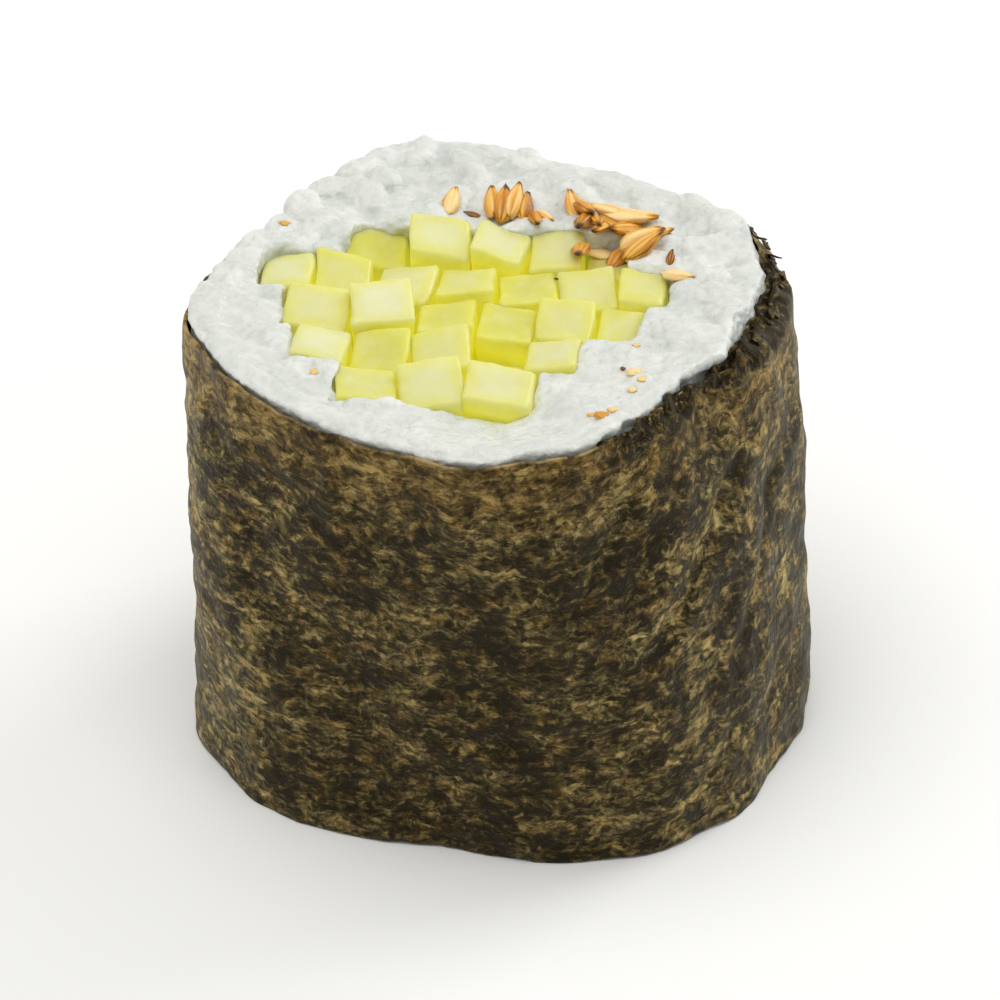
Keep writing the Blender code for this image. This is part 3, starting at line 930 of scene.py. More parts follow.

# Painted shade: points that lie deeper below the cut, in the seams between grains, are tinted
# blue-grey.
seam = add(tree, "Attribute", attribute_name="seam").outputs["Fac"]
seam_shade_share = add(tree, "Math", {0: seam, 1: 0.6}, operation="MULTIPLY")
seam_shaded = add(tree, "Mix", {"Factor": seam_shade_share, "A": facet_shaded, "B": "#C4CAC6"}, data_type="RGBA")
starch = add(tree, "TexNoise", {"Vector": place_on, "Scale": 2.6 * PER_MM, "Detail": 3.0})
facet_height = add(tree, "Math", {0: facets, 1: 0.8, 2: starch}, operation="MULTIPLY_ADD")
starch_bump = add(tree, "Bump", {"Height": facet_height, "Strength": 0.9, "Distance": 0.18 * MM})
fill(
    shader,
    {
        "Base Color": seam_shaded,
        "Roughness": 0.30,
        "IOR": 1.4,
        "Subsurface Weight": 0.7,
        "Subsurface Radius": (1.0, 0.95, 0.88),
        "Subsurface Scale": 0.3 * MM,
        "Normal": starch_bump,
    },
)
print("cooked sushi rice:", len(tree.nodes), "nodes")

# %% [markdown]
# ## Rice: the space it fills
# The rice lies between the nori and the bundle of cucumber. The bundle's outline is stepped, one
# step for each end of a row of sticks. Two functions keep the grains inside that space: one gives
# the widest radius the rice may have in a direction, the other pushes a point that has strayed
# into the bundle out through its nearest side, as a firm stick does to soft rice. A boolean could
# carve the same space, but would leave knife-sharp edges in the rice.

# %% Rice limits
LIP_WIDTH = 0.3 * MM
OVERHANG = 0.05 * MM
RICE_GAP = 0.05 * MM


def rice_inset(angle):
    """Distance from the nori's outer face to the rice, which makes room for the sheet's inner end."""
    turned = (angle - LAP_START) % (2.0 * math.pi)
    ramp_up = smooth_step(1.0 - (2.0 * math.pi - turned) / (0.5 * LAP_RAMP))
    return max(nori_depth(turned), LAP_DEPTH * ramp_up) + NORI_THICK + RICE_GAP


def rice_limit(angle, z):
    """The widest radius that the rice may reach at this height, with its overhang above the rim."""
    over = smooth_step((z - rim_height(angle) + 0.15 * MM) / (0.45 * MM)) * brim_share(angle)
    arc = Vector((angle * RIM_RADIUS, 0.0, 0.0))
    frayed = 0.20 + 0.6 * lumps(arc, 1.5 * MM, 37.0) + 0.3 * lumps(arc, 0.7 * MM, 39.0)
    inside = wall_radius(angle, z) - rice_inset(angle) - max(frayed, 0.0) * MM * torn_share(angle)
    inside -= FLAP_LEAN * flap_share(angle) * smooth_step((z - RICE_HEIGHT + 1.2 * MM) / MM)
    outside = wall_radius(angle, RICE_HEIGHT) + 2.0 * OVERHANG + LIP_WIDTH * lip_share(angle)
    return inside + over * (outside - inside)


# %% Keeping out of the bundle
# The rows of sticks from the back to the front, as the x of both ends in mm
ROW_ENDS = ((-7.6, 7.5), (-11.8, 9.4), (-10.3, 8.5), (-9.7, 5.1), (-7.3, 3.0))
ROW_PITCH = 3.4 * MM
FIRST_ROW = 5.5 * MM
ROW_OVERLAP = 0.1 * MM
BUNDLE_TURN = math.radians(-2.0)
BUNDLE_MARGIN = -0.12 * MM
BUNDLE_RAGGED = 0.7 * MM
BUNDLE_MIDDLE = Vector((-1.2, -1.3, 0.0)) * MM
BUNDLE_SEARCH = 0.15 * MM
BACK_TUCK = 0.35 * MM


def bundle_plan(x, y, z):
    """A point in the bundle's own plan, where its rows run straight along x."""
    place = Vector((x, y, 0.0)) - FOOT_SHIFT - RIM_SHIFT * (z / RICE_HEIGHT)
    return Matrix.Rotation(-BUNDLE_TURN, 3, "Z") @ place


def from_bundle_plan(plan, z):
    turned = Matrix.Rotation(BUNDLE_TURN, 3, "Z") @ Vector((plan.x, plan.y, 0.0))
    return turned + FOOT_SHIFT + RIM_SHIFT * (z / RICE_HEIGHT) + Vector((0.0, 0.0, z))


def out_of_bundle(place):
    """The place itself, or the nearest one outside the bundle if it lies within."""
    plan = bundle_plan(place.x, place.y, place.z)
    margin = BUNDLE_MARGIN + BUNDLE_RAGGED * lumps(Vector((place.x, place.y, 0.0)), 2.3 * MM, 41.0)
    for row, (left, right) in enumerate(ROW_ENDS):
        lo_x = left * MM - margin
        hi_x = right * MM + margin
        back = margin - BACK_TUCK if row == 0 else ROW_OVERLAP
        front = margin if row == len(ROW_ENDS) - 1 else ROW_OVERLAP
        hi_y = FIRST_ROW - ROW_PITCH * (row - 0.5) + back
        lo_y = FIRST_ROW - ROW_PITCH * (row + 0.5) - front
        if not (lo_x < plan.x < hi_x and lo_y < plan.y < hi_y):
            continue
        exits = [
            (plan.x - lo_x, Vector((lo_x, plan.y, 0.0))),
            (hi_x - plan.x, Vector((hi_x, plan.y, 0.0))),
        ]
        for neighbour, side, away in ((row - 1, hi_y, hi_y - plan.y), (row + 1, lo_y, plan.y - lo_y)):
            ends = ROW_ENDS[neighbour] if 0 <= neighbour < len(ROW_ENDS) else (0.0, 0.0)
            if not ends[0] * MM < plan.x < ends[1] * MM:
                exits.append((away, Vector((plan.x, side, 0.0))))
        nearest = min(exits, key=lambda way: way[0])[1]
        return from_bundle_plan(nearest, place.z)
    return place


def bundle_reach(angle, z):
    """How far from the bundle's middle its outline lies in this direction."""
    reach = BUNDLE_SEARCH
    while reach < RIM_RADIUS:
        place = from_bundle_plan(BUNDLE_MIDDLE, z) + outwards(angle) * reach
        if (out_of_bundle(place).xy - place.xy).length < 0.001 * MM:
            break
        reach += BUNDLE_SEARCH
    return reach


print("bundle of", len(ROW_ENDS), "rows")

# %% The knife's cut
RICE_DISH = 0.6 * MM
CUT_LIFT = 0.15 * MM
HOLLOW_AT = Vector((-0.4, -10.2, 0.0)) * MM
HOLLOW_REACH = 4.2 * MM
HOLLOW_DEPTH = 0.9 * MM


def cut_height(x, y):
    """Height of the knife's cut: nearly flat, and a little dished."""
    middle = FOOT_SHIFT + RIM_SHIFT
    away = Vector((x, y, 0.0)) - middle
    angle = math.atan2(away.y, away.x)
    share = min(away.length / (wall_radius(angle, RICE_HEIGHT) - rice_inset(angle)), 1.0)
    relief = 0.1 * (math.sin(1150.0 * x + 900.0 * y + 0.4) + math.sin(1500.0 * y - 700.0 * x))
    lift = CUT_LIFT * lip_share(angle) * share
    return RICE_HEIGHT + relief * MM + lift - RICE_DISH * (1.0 - share)


def hollow_depth(x, y):
    """How far the rice sank in the hollow before the front sticks."""
    return HOLLOW_DEPTH * smooth_step(1.0 - (Vector((x, y, 0.0)) - HOLLOW_AT).length / HOLLOW_REACH)


# %% [markdown]
# ## Rice: the grains
# Real grains are laid over a slab that fills what the eye can't reach. Each grain is a stretched
# ball, short where it stands upright or the knife went through it. One ring of them sits along
# the rim, because their ends make the scalloped edge that hangs over the nori, and one lies along
# the bundle. The rest are dropped at random, each clear of those before it. The knife presses all
# that it meets down to the cut: hard at the front, where it smeared the rice, and less at the
# back. A voxel remesh then fuses slab and grains into one skin, as sticky rice fuses. The remesh
# forgets which grain was where, so each point of the skin looks up its nearest grain again and
# takes that grain's whiteness. A shallow hollow before the front sticks is pressed in at the end.

# %% Where the grains lie
GRAIN_LENGTH = 4.9 * MM
GRAIN_WIDTH = 2.1 * MM
GRAIN_SHARES = (0.46, 0.6, 0.8, 1.0)
GRAIN_GAP = 1.3 * MM
GRAIN_DROPS = 5000
RING_SPACING = 1.75 * MM
RING_YAWS = (0.0, 0.5, 1.0, 1.35)
FRONT = math.radians(-100.0)
SMEAR_OUT = 0.4 * MM
SMEARED_FROM = 0.3


def front_share(angle):
    """1 at the front, where the knife smeared the rice, and 0 at the back."""
    return smooth_step(0.35 + 0.75 * math.cos(angle - FRONT))


def ring_of_grains(chance, face_z):
    """The grains along the rim: middle, depth, yaw, tilt, length and tone of each."""
    grains = []
    middle = wall_middle(face_z)
    angle = 0.0
    while angle < 2.0 * math.pi:
        smeared = front_share(angle) > SMEARED_FROM
        length = GRAIN_LENGTH * (1.0 if smeared else chance.choice(GRAIN_SHARES))
        yaw_out = chance.choice(RING_YAWS) * 0.5 * math.pi + chance.uniform(-0.35, 0.35)
        if smeared:
            yaw_out = 0.5 * math.pi + chance.uniform(-0.12, 0.12)
        reach = math.hypot(0.5 * length * math.cos(yaw_out), 0.5 * GRAIN_WIDTH * math.sin(yaw_out))
        edge = wall_radius(angle, face_z) - rice_inset(angle) + SMEAR_OUT * front_share(angle)
        edge += chance.uniform(-0.22, 0.1) * brim_share(angle) * MM
        edge += (rice_inset(angle) + OVERHANG + LIP_WIDTH * lip_share(angle)) * brim_share(angle)
        place = middle + outwards(angle) * (edge - reach)
        tilt = chance.uniform(-0.15, 0.15)
        depth = chance.uniform(0.75, 1.05) * MM
        grains.append((place, depth, angle + yaw_out, tilt, length, chance.random()))
        apart = 0.15 if smeared else 0.7
        step = RING_SPACING + abs(math.sin(yaw_out)) * (length - GRAIN_WIDTH) * apart
        angle += step / RIM_RADIUS * chance.uniform(0.8, 1.15)
    return grains


def grains_round_bundle(chance, face_z):
    """The grains that lie along the bundle's outline, given in the same way."""
    grains = []
    angle = 0.0
    while angle < 2.0 * math.pi:
        length = GRAIN_LENGTH * chance.choice(GRAIN_SHARES[1:])
        reach = bundle_reach(angle, face_z)
        place = from_bundle_plan(BUNDLE_MIDDLE, 0.0) + RIM_SHIFT * lean_at(face_z)
        place += outwards(angle) * (reach + 0.42 * GRAIN_WIDTH)
        yaw = angle + 0.5 * math.pi + chance.uniform(-0.4, 0.4)
        depth = chance.uniform(0.9, 1.2) * MM
        grains.append((place, depth, yaw, chance.uniform(-0.2, 0.2), length, chance.random()))
        angle += 0.75 * length / reach
    return grains


def scatter_grains(chance, face_z):
    """All grains of one cut face: the ring, those round the bundle, and the ones in between."""
    grains = ring_of_grains(chance, face_z) + grains_round_bundle(chance, face_z)
    middle = wall_middle(face_z)
    for _ in range(GRAIN_DROPS):
        angle = chance.uniform(0.0, 2.0 * math.pi)
        away = math.sqrt(chance.random())
        reach = away * (wall_radius(angle, face_z) - rice_inset(angle) - 1.0 * MM)
        place = middle + outwards(angle) * reach
        clear = (out_of_bundle(place + Vector((0.0, 0.0, face_z))).xy - place.xy).length < 0.00001 * MM
        if not clear or any((other[0] - place).length < GRAIN_GAP for other in grains):
            continue
        length = GRAIN_LENGTH * chance.choice(GRAIN_SHARES)
        yaw = chance.uniform(0.0, math.pi)
        depth = chance.uniform(0.8, 1.3) * MM
        grains.append((place, depth, yaw, chance.uniform(-0.3, 0.3), length, chance.random()))
    return grains


print("a grain is", round(GRAIN_LENGTH / MM, 1), "by", round(GRAIN_WIDTH / MM, 1), "mm")

# %% Tones of the grains
SEAM_FROM = 0.15
SEAM_REACH = 0.55
SEAM_END = 2.2


def paint_grains(piece, grains, top):
    """Gives every point the tone of its nearest grain, and a value for how deep in a seam it lies."""
    finder = KDTree(len(grains))
    for number, (place, depth, yaw, tilt, length, tone_value) in enumerate(grains):
        finder.insert((place.x, place.y, 0.0), number)
    finder.balance()
    tones = []
    seams = []
    for corner in piece.data.vertices:
        x, y, z = corner.co
        nearest = (1e9, 0.0)
        for _, number, _ in finder.find_n((x, y, 0.0), 5):
            place, depth, yaw, tilt, length, tone_value = grains[number]
            along = (x - place.x) * math.cos(yaw) + (y - place.y) * math.sin(yaw)
            across = (y - place.y) * math.cos(yaw) - (x - place.x) * math.sin(yaw)
            nearest = min(nearest, (math.hypot(along / length, across / GRAIN_WIDTH), tone_value))
        tones.append(nearest[1])
        # How deep below the cut the point lies: in the seams the material turns this into painted
        # shade.
        below = (cut_height(x, y) - hollow_depth(x, y) - z if top else z) / MM
        seams.append(smooth_step((below - SEAM_FROM) / SEAM_REACH) * smooth_step(SEAM_END - below))
    paint(piece, "tone", tones)
    paint(piece, "seam", seams)


# %% The slab below the grains
SLAB_DEPTH = 3.2 * MM
SLAB_SUNK = 0.5
SLAB_RAISED_FRONT = 0.32
SLAB_EDGE = 1.2 * MM


def rice_slab(keep_above, keep_below):
    """The part of the CAD rice between two heights, closed where it is cut."""
    slab = copy_of_node("rice")
    for height, normal in ((keep_above, 1.0), (keep_below, -1.0)):
        if height is None:
            continue
        everything = slab.verts[:] + slab.edges[:] + slab.faces[:]
        bmesh.ops.bisect_plane(
            slab, geom=everything, clear_inner=True,
            plane_co=(0.0, 0.0, height), plane_no=(0.0, 0.0, normal),
        )
        rim = [edge for edge in slab.edges if edge.is_boundary]
        bmesh.ops.triangle_fill(slab, edges=rim, use_beauty=True, normal=(0.0, 0.0, -normal))
    bmesh.ops.recalc_face_normals(slab, faces=slab.faces)
    return slab


def sink_slab(body, face_z):
    """Sinks the slab's cut face below the grains, less at the front, and keeps it in the nori."""
    for corner in body.verts:
        near_cut = smooth_step(1.0 - abs(corner.co.z - face_z) / SLAB_EDGE)
        angle = math.atan2(corner.co.y, corner.co.x)
        sunk = (SLAB_SUNK - SLAB_RAISED_FRONT * front_share(angle)) * MM * near_cut
        corner.co.z += -sunk if face_z > 0.0 else sunk
        away = corner.co - wall_middle(corner.co.z)
        away.z = 0.0
        widest = rice_limit(math.atan2(away.y, away.x), corner.co.z)
        if near_cut > 0.0 and away.length > widest:
            corner.co -= away.normalized() * (away.length - widest)


# %% One grain
# The knife leaves each grain at a height of its own and rounds its top over by a share: more at the
# back than at the smeared front.
GRAIN_FLATNESS = 0.88
CUT_SPREAD = (-0.12, 0.24)
CUT_EVENED_FRONT = 0.6
CROWN = 0.13
CROWN_BACK = 0.22
HIGHEST_BULGE = -0.08 * MM


def inside_nori(here, z):
    """The place itself, or the nearest one that the nori leaves to the rice at this height."""
    middle = wall_middle(z)
    away = here - middle
    angle = math.atan2(away.y, away.x)
    limit = rice_limit(angle, z)
    if math.hypot(away.x, away.y) > limit:
        here = middle + outwards(angle) * limit
        here.z = z
    return here


def add_grain(body, chance, spot, top):
    """Lays one grain over the slab, pressed by the knife, the nori and the sticks."""
    place, depth, yaw, tilt, length, _ = spot
    grain = bmesh.new()
    bmesh.ops.create_icosphere(grain, subdivisions=4, radius=0.5)
    width = GRAIN_WIDTH * chance.uniform(0.9, 1.12)
    turn = Euler((chance.uniform(-0.4, 0.4), tilt, yaw)).to_matrix().to_4x4()
    grow = Matrix.Diagonal((length, width, GRAIN_FLATNESS * width, 1.0))
    bmesh.ops.transform(grain, matrix=turn @ grow, verts=grain.verts)
    front = front_share(math.atan2(place.y, place.x))
    own_cut = chance.uniform(*CUT_SPREAD) * (1.0 - CUT_EVENED_FRONT * front) * MM
    crown = CROWN_BACK * (1.0 - front) + CROWN
    for corner in grain.verts:
        deep = depth - corner.co.z
        if deep < own_cut:
            deep = own_cut - (own_cut - deep) * crown
        deep = max(deep, HIGHEST_BULGE)
        here = place + Vector((corner.co.x, corner.co.y, 0.0))
        z = cut_height(here.x, here.y) - deep if top else max(deep, 0.0)
        here.z = z
        corner.co = out_of_bundle(inside_nori(here, z))
    grain_mesh = bpy.data.meshes.new("grain")
    grain.to_mesh(grain_mesh)
    grain.free()
    body.from_mesh(grain_mesh)
    bpy.data.meshes.remove(grain_mesh)


# %% Fused rice
RICE_VOXEL = 0.145 * MM
STANDS_AT = 0.01 * MM


def fuse_grains(piece):
    """Makes slab and grains one closed skin."""
    fuse = piece.modifiers.new("fuse the grains", "REMESH")
    fuse.mode = "VOXEL"
    fuse.voxel_size = RICE_VOXEL
    fuse.use_smooth_shade = True
    bake_modifiers(piece)


def roughen_rice(piece, top):
    """Evens out the steps of the remesh, then breaks up the skin and presses the hollow in."""
    skin = bmesh.new()
    skin.from_mesh(piece.data)
    bmesh.ops.smooth_vert(
        skin, verts=skin.verts, factor=0.5, use_axis_x=True, use_axis_y=True, use_axis_z=True
    )
    skin.normal_update()
    for corner in skin.verts:
        rough = 0.06 * lumps(corner.co, 1.0 * MM, 5.0) + 0.07 * lumps(corner.co, 0.42 * MM, 6.0)
        corner.co += corner.normal * rough * MM
        if top:
            near_cut = smooth_step((corner.co.z - RICE_HEIGHT + 2.6 * MM) / (1.6 * MM))
            corner.co.z -= hollow_depth(corner.co.x, corner.co.y) * near_cut
        corner.co.z = max(corner.co.z, STANDS_AT)
    skin.to_mesh(piece.data)
    skin.free()


def make_rice_face(name, top, seed):
    """One cut face of the rice: a slab with grains fused into it."""
    chance = random.Random(seed)
    face_z = RICE_HEIGHT if top else 0.0
    body = rice_slab(RICE_HEIGHT - SLAB_DEPTH, None) if top else rice_slab(None, SLAB_DEPTH)
    sink_slab(body, face_z)
    grains = scatter_grains(chance, face_z)
    for spot in grains:
        add_grain(body, chance, spot, top)
    piece = new_piece(name, body, rice_material)
    fuse_grains(piece)
    roughen_rice(piece, top)
    paint_grains(piece, grains, top)
    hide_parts("rice")
    print(name, "holds", len(grains), "grains")
    report(piece)
    return piece


rice_top = make_rice_face("rice_top", True, 11)
rice_foot = make_rice_face("rice_foot", False, 23)

# %% Rice core
# Between the two faces the nori hides the rice, so a smaller plain core fills the height. It
# reaches a little into both, and is drawn in from the nori.
CORE_REACH = 0.3 * MM
CORE_DRAWN_IN = 0.15 * MM
CORE_RIM = 1.2 * MM

core = rice_slab(SLAB_DEPTH - CORE_REACH, RICE_HEIGHT - SLAB_DEPTH + CORE_REACH)
for corner in core.verts:
    away = corner.co - wall_middle(corner.co.z)
    away.z = 0.0
    if away.length > wall_radius(math.atan2(away.y, away.x), corner.co.z) - CORE_RIM:
        corner.co -= away.normalized() * CORE_DRAWN_IN
rice_core = new_piece("rice_core", core, rice_material)
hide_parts("rice")
report(rice_core)

# %% [markdown]
# ## Cucumber: what it is
# The sticks are cut from the flesh of a cucumber: pale, wet, yellow-green, and translucent enough
# for the gaps between them to glow a deep yellow-green, since light that bounces from stick to
# stick is tinted each time. Scattering alone would need very many samples for that, so the tint
# is also painted by depth. Flesh near the seeds is yellower than flesh near the skin, so every
# stick carries its own tone in an attribute.

# %% Cucumber material
cucumber_material, tree, shader = new_material("fresh cucumber flesh")
place_on = add(tree, "TexCoord").outputs["Object"]
tone = add(tree, "Attribute", attribute_name="tone").outputs["Fac"]
flesh = add(tree, "Mix", {"Factor": tone, "A": "#D5D260", "B": "#E8E7BE"}, data_type="RGBA")

# Near the edges of its top a stick is thin to the light, so a painted yellow tint there stands in for
# that light.
# Noise of 2 mm breaks up the line where that tint starts.
core = add(tree, "Attribute", attribute_name="core").outputs["Fac"]
soft_cells = add(
    tree, "TexNoise", {"Vector": place_on, "Scale": 0.45 * PER_MM, "Detail": 3.0, "Roughness": 0.6}
)
core_moved = add(tree, "Math", {0: soft_cells, 1: 0.9, 2: -0.45}, operation="MULTIPLY_ADD")
core_broken = add(tree, "Math", {0: core, 1: core_moved}, operation="ADD", use_clamp=True)
edge_tint = add(tree, "MapRange", {"Value": core_broken, "To Min": 0.62, "To Max": 0.0})
top_flesh = add(tree, "Mix", {"Factor": edge_tint, "A": flesh, "B": "#DFDB5C"}, data_type="RGBA")

# %% Cucumber depth and cells
# Below the cut the walls are painted a deeper yellow-green over 3 mm, standing in for light tinted
# between the sticks, and wet cells of 1 mm mottle it all.
depth = add(tree, "Attribute", attribute_name="depth").outputs["Fac"]
below_cut = add(tree, "MapRange", {"Value": depth, "From Max": 3.0})
painted_gap_tint = add(
    tree, "ValToRGB", {"Fac": below_cut}, stops=((0.0, "#E3DF72"), (0.35, "#DDD845"), (1.0, "#CFC900"))
)
within = add(
    tree, "MapRange", {"Value": depth, "From Min": 0.12, "From Max": 0.5},
    interpolation_type="SMOOTHSTEP",
)
gap_tinted = add(tree, "Mix", {"Factor": within, "A": top_flesh, "B": painted_gap_tint}, data_type="RGBA")
cells = add(
    tree, "TexNoise", {"Vector": place_on, "Scale": 0.9 * PER_MM, "Detail": 4.0, "Roughness": 0.6}
)
cell_share = add(tree, "MapRange", {"Value": cells, "From Min": 0.45, "From Max": 0.75, "To Max": 0.35})
mottled = add(tree, "Mix", {"Factor": cell_share, "A": gap_tinted, "B": "#E9E9BE"}, data_type="RGBA")

# The walls also glow a little in the deep tint: a painted glow, standing in for light that runs down
# inside the wet sticks and leaves by their sides.
painted_glow = add(tree, "MapRange", {"Value": depth, "From Min": 0.12, "From Max": 0.9, "To Max": 0.30})
flesh_bump = add(tree, "Bump", {"Height": cells, "Strength": 0.3, "Distance": 0.08 * MM})
fill(
    shader,
    {
        "Base Color": mottled,
        "Roughness": 0.28,
        "IOR": 1.35,
        "Subsurface Weight": 0.8,
        "Subsurface Radius": (1.0, 1.0, 0.35),
        "Subsurface Scale": 1.5 * MM,
        "Emission Color": painted_gap_tint,
        "Emission Strength": painted_glow,
        "Normal": flesh_bump,
    },
)
print("fresh cucumber flesh:", len(tree.nodes), "nodes")

# %% [markdown]
# ## Cucumber: the sticks
# Each stick starts as a cube, because that is what the knife makes. Its edges are bevelled and
# its long edges subdivided, and the points are then carried into the place of its CAD solid,
# whose eight corners give the stick its width, lean and slanting top. Gentle noise breaks the
# flatness, since soft flesh never cuts quite straight.

# %% Tones of the sticks
# From 0, yellow flesh that lay near the seeds, to 1, pale flesh: row by row from the back left
STICK_TONES = (
    0.0, 0.75, 0.8, 0.55, 0.2,
    0.75, 0.35, 0.7, 0.35, 0.1, 0.5, 0.4,
    0.6, 1.0, 0.05, 0.1, 0.45, 0.4,
    0.9, 0.15, 0.4, 0.2, 0.6,
    0.35, 0.7, 0.7,
)
print(len(STICK_TONES), "tones")

# %% Corners of a CAD stick
STICK_EDGE = 0.2 * MM


def ring_corners(ring):
    """The four corners of a bevelled outline, from its eight points in order round it."""
    corners = []
    for step in range(8):
        before, here, after = ring[step - 1], ring[step], ring[(step + 1) % 8]
        if (here - before).length > (after - here).length:
            corners.append(here + (here - before).normalized() * STICK_EDGE)
    return corners


def stick_corners(name):
    """The four foot corners and the four top corners of a CAD stick, in the same order."""
    solid = copy_of_node(name)
    points = [corner.co.copy() for corner in solid.verts]
    solid.free()
    half = 0.5 * (min(p.z for p in points) + max(p.z for p in points))
    ends = []
    for end in ([p for p in points if p.z < half], [p for p in points if p.z >= half]):
        middle = sum(end, Vector()) / len(end)
        end.sort(key=lambda p: math.atan2(p.y - middle.y, p.x - middle.x))
        ends.append(ring_corners(end))
    foot, top = ends
    first = min(range(4), key=lambda turn: (top[turn] - foot[0]).xy.length)
    return foot, top[first:] + top[:first]


# %% Block of a stick
# The new levels crowd towards both ends, where the shape shows.
STICK_ROUND = 0.26 * MM
CUTS_ACROSS = 8
CUTS_UP = 11


def stick_block(width, depth, height):
    """A block with rounded edges and enough points to bend."""
    block = bmesh.new()
    bmesh.ops.create_cube(block, size=1.0)
    bmesh.ops.scale(block, vec=(width, depth, height), verts=block.verts)
    bmesh.ops.bevel(
        block, geom=block.edges[:], offset=STICK_ROUND, affect="EDGES", segments=3, profile=0.5,
        material=-1,
    )
    across = [edge for edge in block.edges if 0.5 * MM < edge.calc_length() < 0.5 * height]
    bmesh.ops.subdivide_edges(block, edges=across, cuts=CUTS_ACROSS, use_grid_fill=True)
    upright = [edge for edge in block.edges if edge.calc_length() > 0.5 * height]
    bmesh.ops.subdivide_edges(block, edges=upright, cuts=CUTS_UP, use_grid_fill=True)
    straight = 0.5 * height - STICK_ROUND
    for corner in block.verts:
        level = corner.co.z / straight
        if abs(level) < 0.999:
            corner.co.z = math.copysign(1.0 - (1.0 - abs(level)) ** 2.0, level) * straight
    return block


# %% Cucumber sticks
# The bundle is squeezed, so each stick swells a little past its solid, and its top is twisted and
# slants its own way.
STICK_SWELL = 0.15 * MM
STICK_TWIST = math.radians(7.0)
STICK_SLOPE = 0.22
EDGE_GLOW = 1.1 * MM


def make_stick(name, tone_value, chance):
    """One stick, bent a little near the top so that its cut end lies askew."""
    foot, top = stick_corners(name)
    width = (foot[1] - foot[0]).length + 2.0 * STICK_SWELL
    depth = (foot[2] - foot[1]).length + 2.0 * STICK_SWELL
    height = sum(corner.z for corner in top) / 4.0
    block = stick_block(width, depth, height)
    block.normal_update()
    seed = 3.0 * int(name[-2:])
    twist = chance.uniform(-STICK_TWIST, STICK_TWIST)
    slope_x = chance.uniform(-STICK_SLOPE, STICK_SLOPE)
    slope_y = chance.uniform(-STICK_SLOPE, STICK_SLOPE)
    pushes = []
    depths = []
    cores = []
    for corner in block.verts:
        push = 0.17 * lumps(corner.co, 1.9 * MM, seed) + 0.06 * lumps(corner.co, 0.7 * MM, seed + 1.0)
        pushes.append(corner.normal * push * MM)
        depths.append((0.5 * height - abs(corner.co.z)) / MM)
        inside = min(0.5 * width - abs(corner.co.x), 0.5 * depth - abs(corner.co.y))
        cores.append(smooth_step(inside / EDGE_GLOW))
    for corner, push in zip(block.verts, pushes):
        place = corner.co + push
        near_top = smooth_step((place.z - 0.2 * height) / (0.3 * height))
        place = Matrix.Rotation(twist * near_top, 3, "Z") @ place
        place.z += near_top * (slope_x * place.x + slope_y * place.y)
        u = place.x / (width - 2.0 * STICK_SWELL) + 0.5
        v = place.y / (depth - 2.0 * STICK_SWELL) + 0.5
        w = place.z / height + 0.5
        low = foot[0].lerp(foot[1], u).lerp(foot[3].lerp(foot[2], u), v)
        high = top[0].lerp(top[1], u).lerp(top[3].lerp(top[2], u), v)
        corner.co = low.lerp(high, w)
        corner.co.z = max(corner.co.z, STANDS_AT)
    bmesh.ops.recalc_face_normals(block, faces=block.faces)
    stick = new_piece(name + "_flesh", block, cucumber_material, sharp_angle=60.0)
    paint(stick, "tone", [tone_value] * len(stick.data.vertices))
    paint(stick, "depth", depths)
    paint(stick, "core", cores)
    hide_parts(name)
    return stick


stick_chance = random.Random(5)
stick_names = sorted(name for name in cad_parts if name.startswith("cucumber"))
sticks = [make_stick(name, shade, stick_chance) for name, shade in zip(stick_names, STICK_TONES)]
print(len(sticks), "cucumber sticks")
report(sticks[0])

# %% [markdown]
# ## Sesame
# Toasted sesame seeds are flat tear-drops, 3 mm long, orange-tan with a dark tip. About two dozen
# were pressed along the back of the bundle. There are few enough to be placed one by one, from a
# stretched ball each, and a ray cast down on the rice and the sticks finds the surface that each
# lies on.

# %% Sesame material
# Roasting browns a seed from its tip, its rim is darker, and painted shade darkens the valleys
# between its ribs. The attribute says how far, and the ramp runs from cream through orange-tan to
# dark brown. The husk is half matt and finely wrinkled.
sesame_material, tree, shader = new_material("toasted sesame")
toasted = add(tree, "Attribute", attribute_name="roast_and_shade").outputs["Fac"]
husk_colour = add(
    tree, "ValToRGB", {"Fac": toasted},
    stops=((0.0, "#FFE0A0"), (0.30, "#F6B84E"), (0.52, "#D08A22"), (0.76, "#85530F"), (1.0, "#35220F")),
)
place_on = add(tree, "TexCoord").outputs["Object"]
speckle = add(tree, "TexNoise", {"Vector": place_on, "Scale": 1.5 * PER_MM, "Detail": 3.0})
speckled = add(
    tree, "Mix", {"Factor": 0.25, "A": husk_colour, "B": speckle.outputs["Color"]},
    data_type="RGBA", blend_type="SOFT_LIGHT",
)
husk = add(tree, "TexNoise", {"Vector": place_on, "Scale": 3.5 * PER_MM, "Detail": 3.0})
husk_bump = add(tree, "Bump", {"Height": husk, "Strength": 0.6, "Distance": 0.08 * MM})
fill(
    shader,
    {
        "Base Color": speckled,
        "Roughness": 0.4,
        "Subsurface Weight": 0.12,
        "Subsurface Radius": (1.0, 0.8, 0.4),
        "Subsurface Scale": 0.3 * MM,
        "Normal": husk_bump,
    },
)
print("toasted sesame:", len(tree.nodes), "nodes")

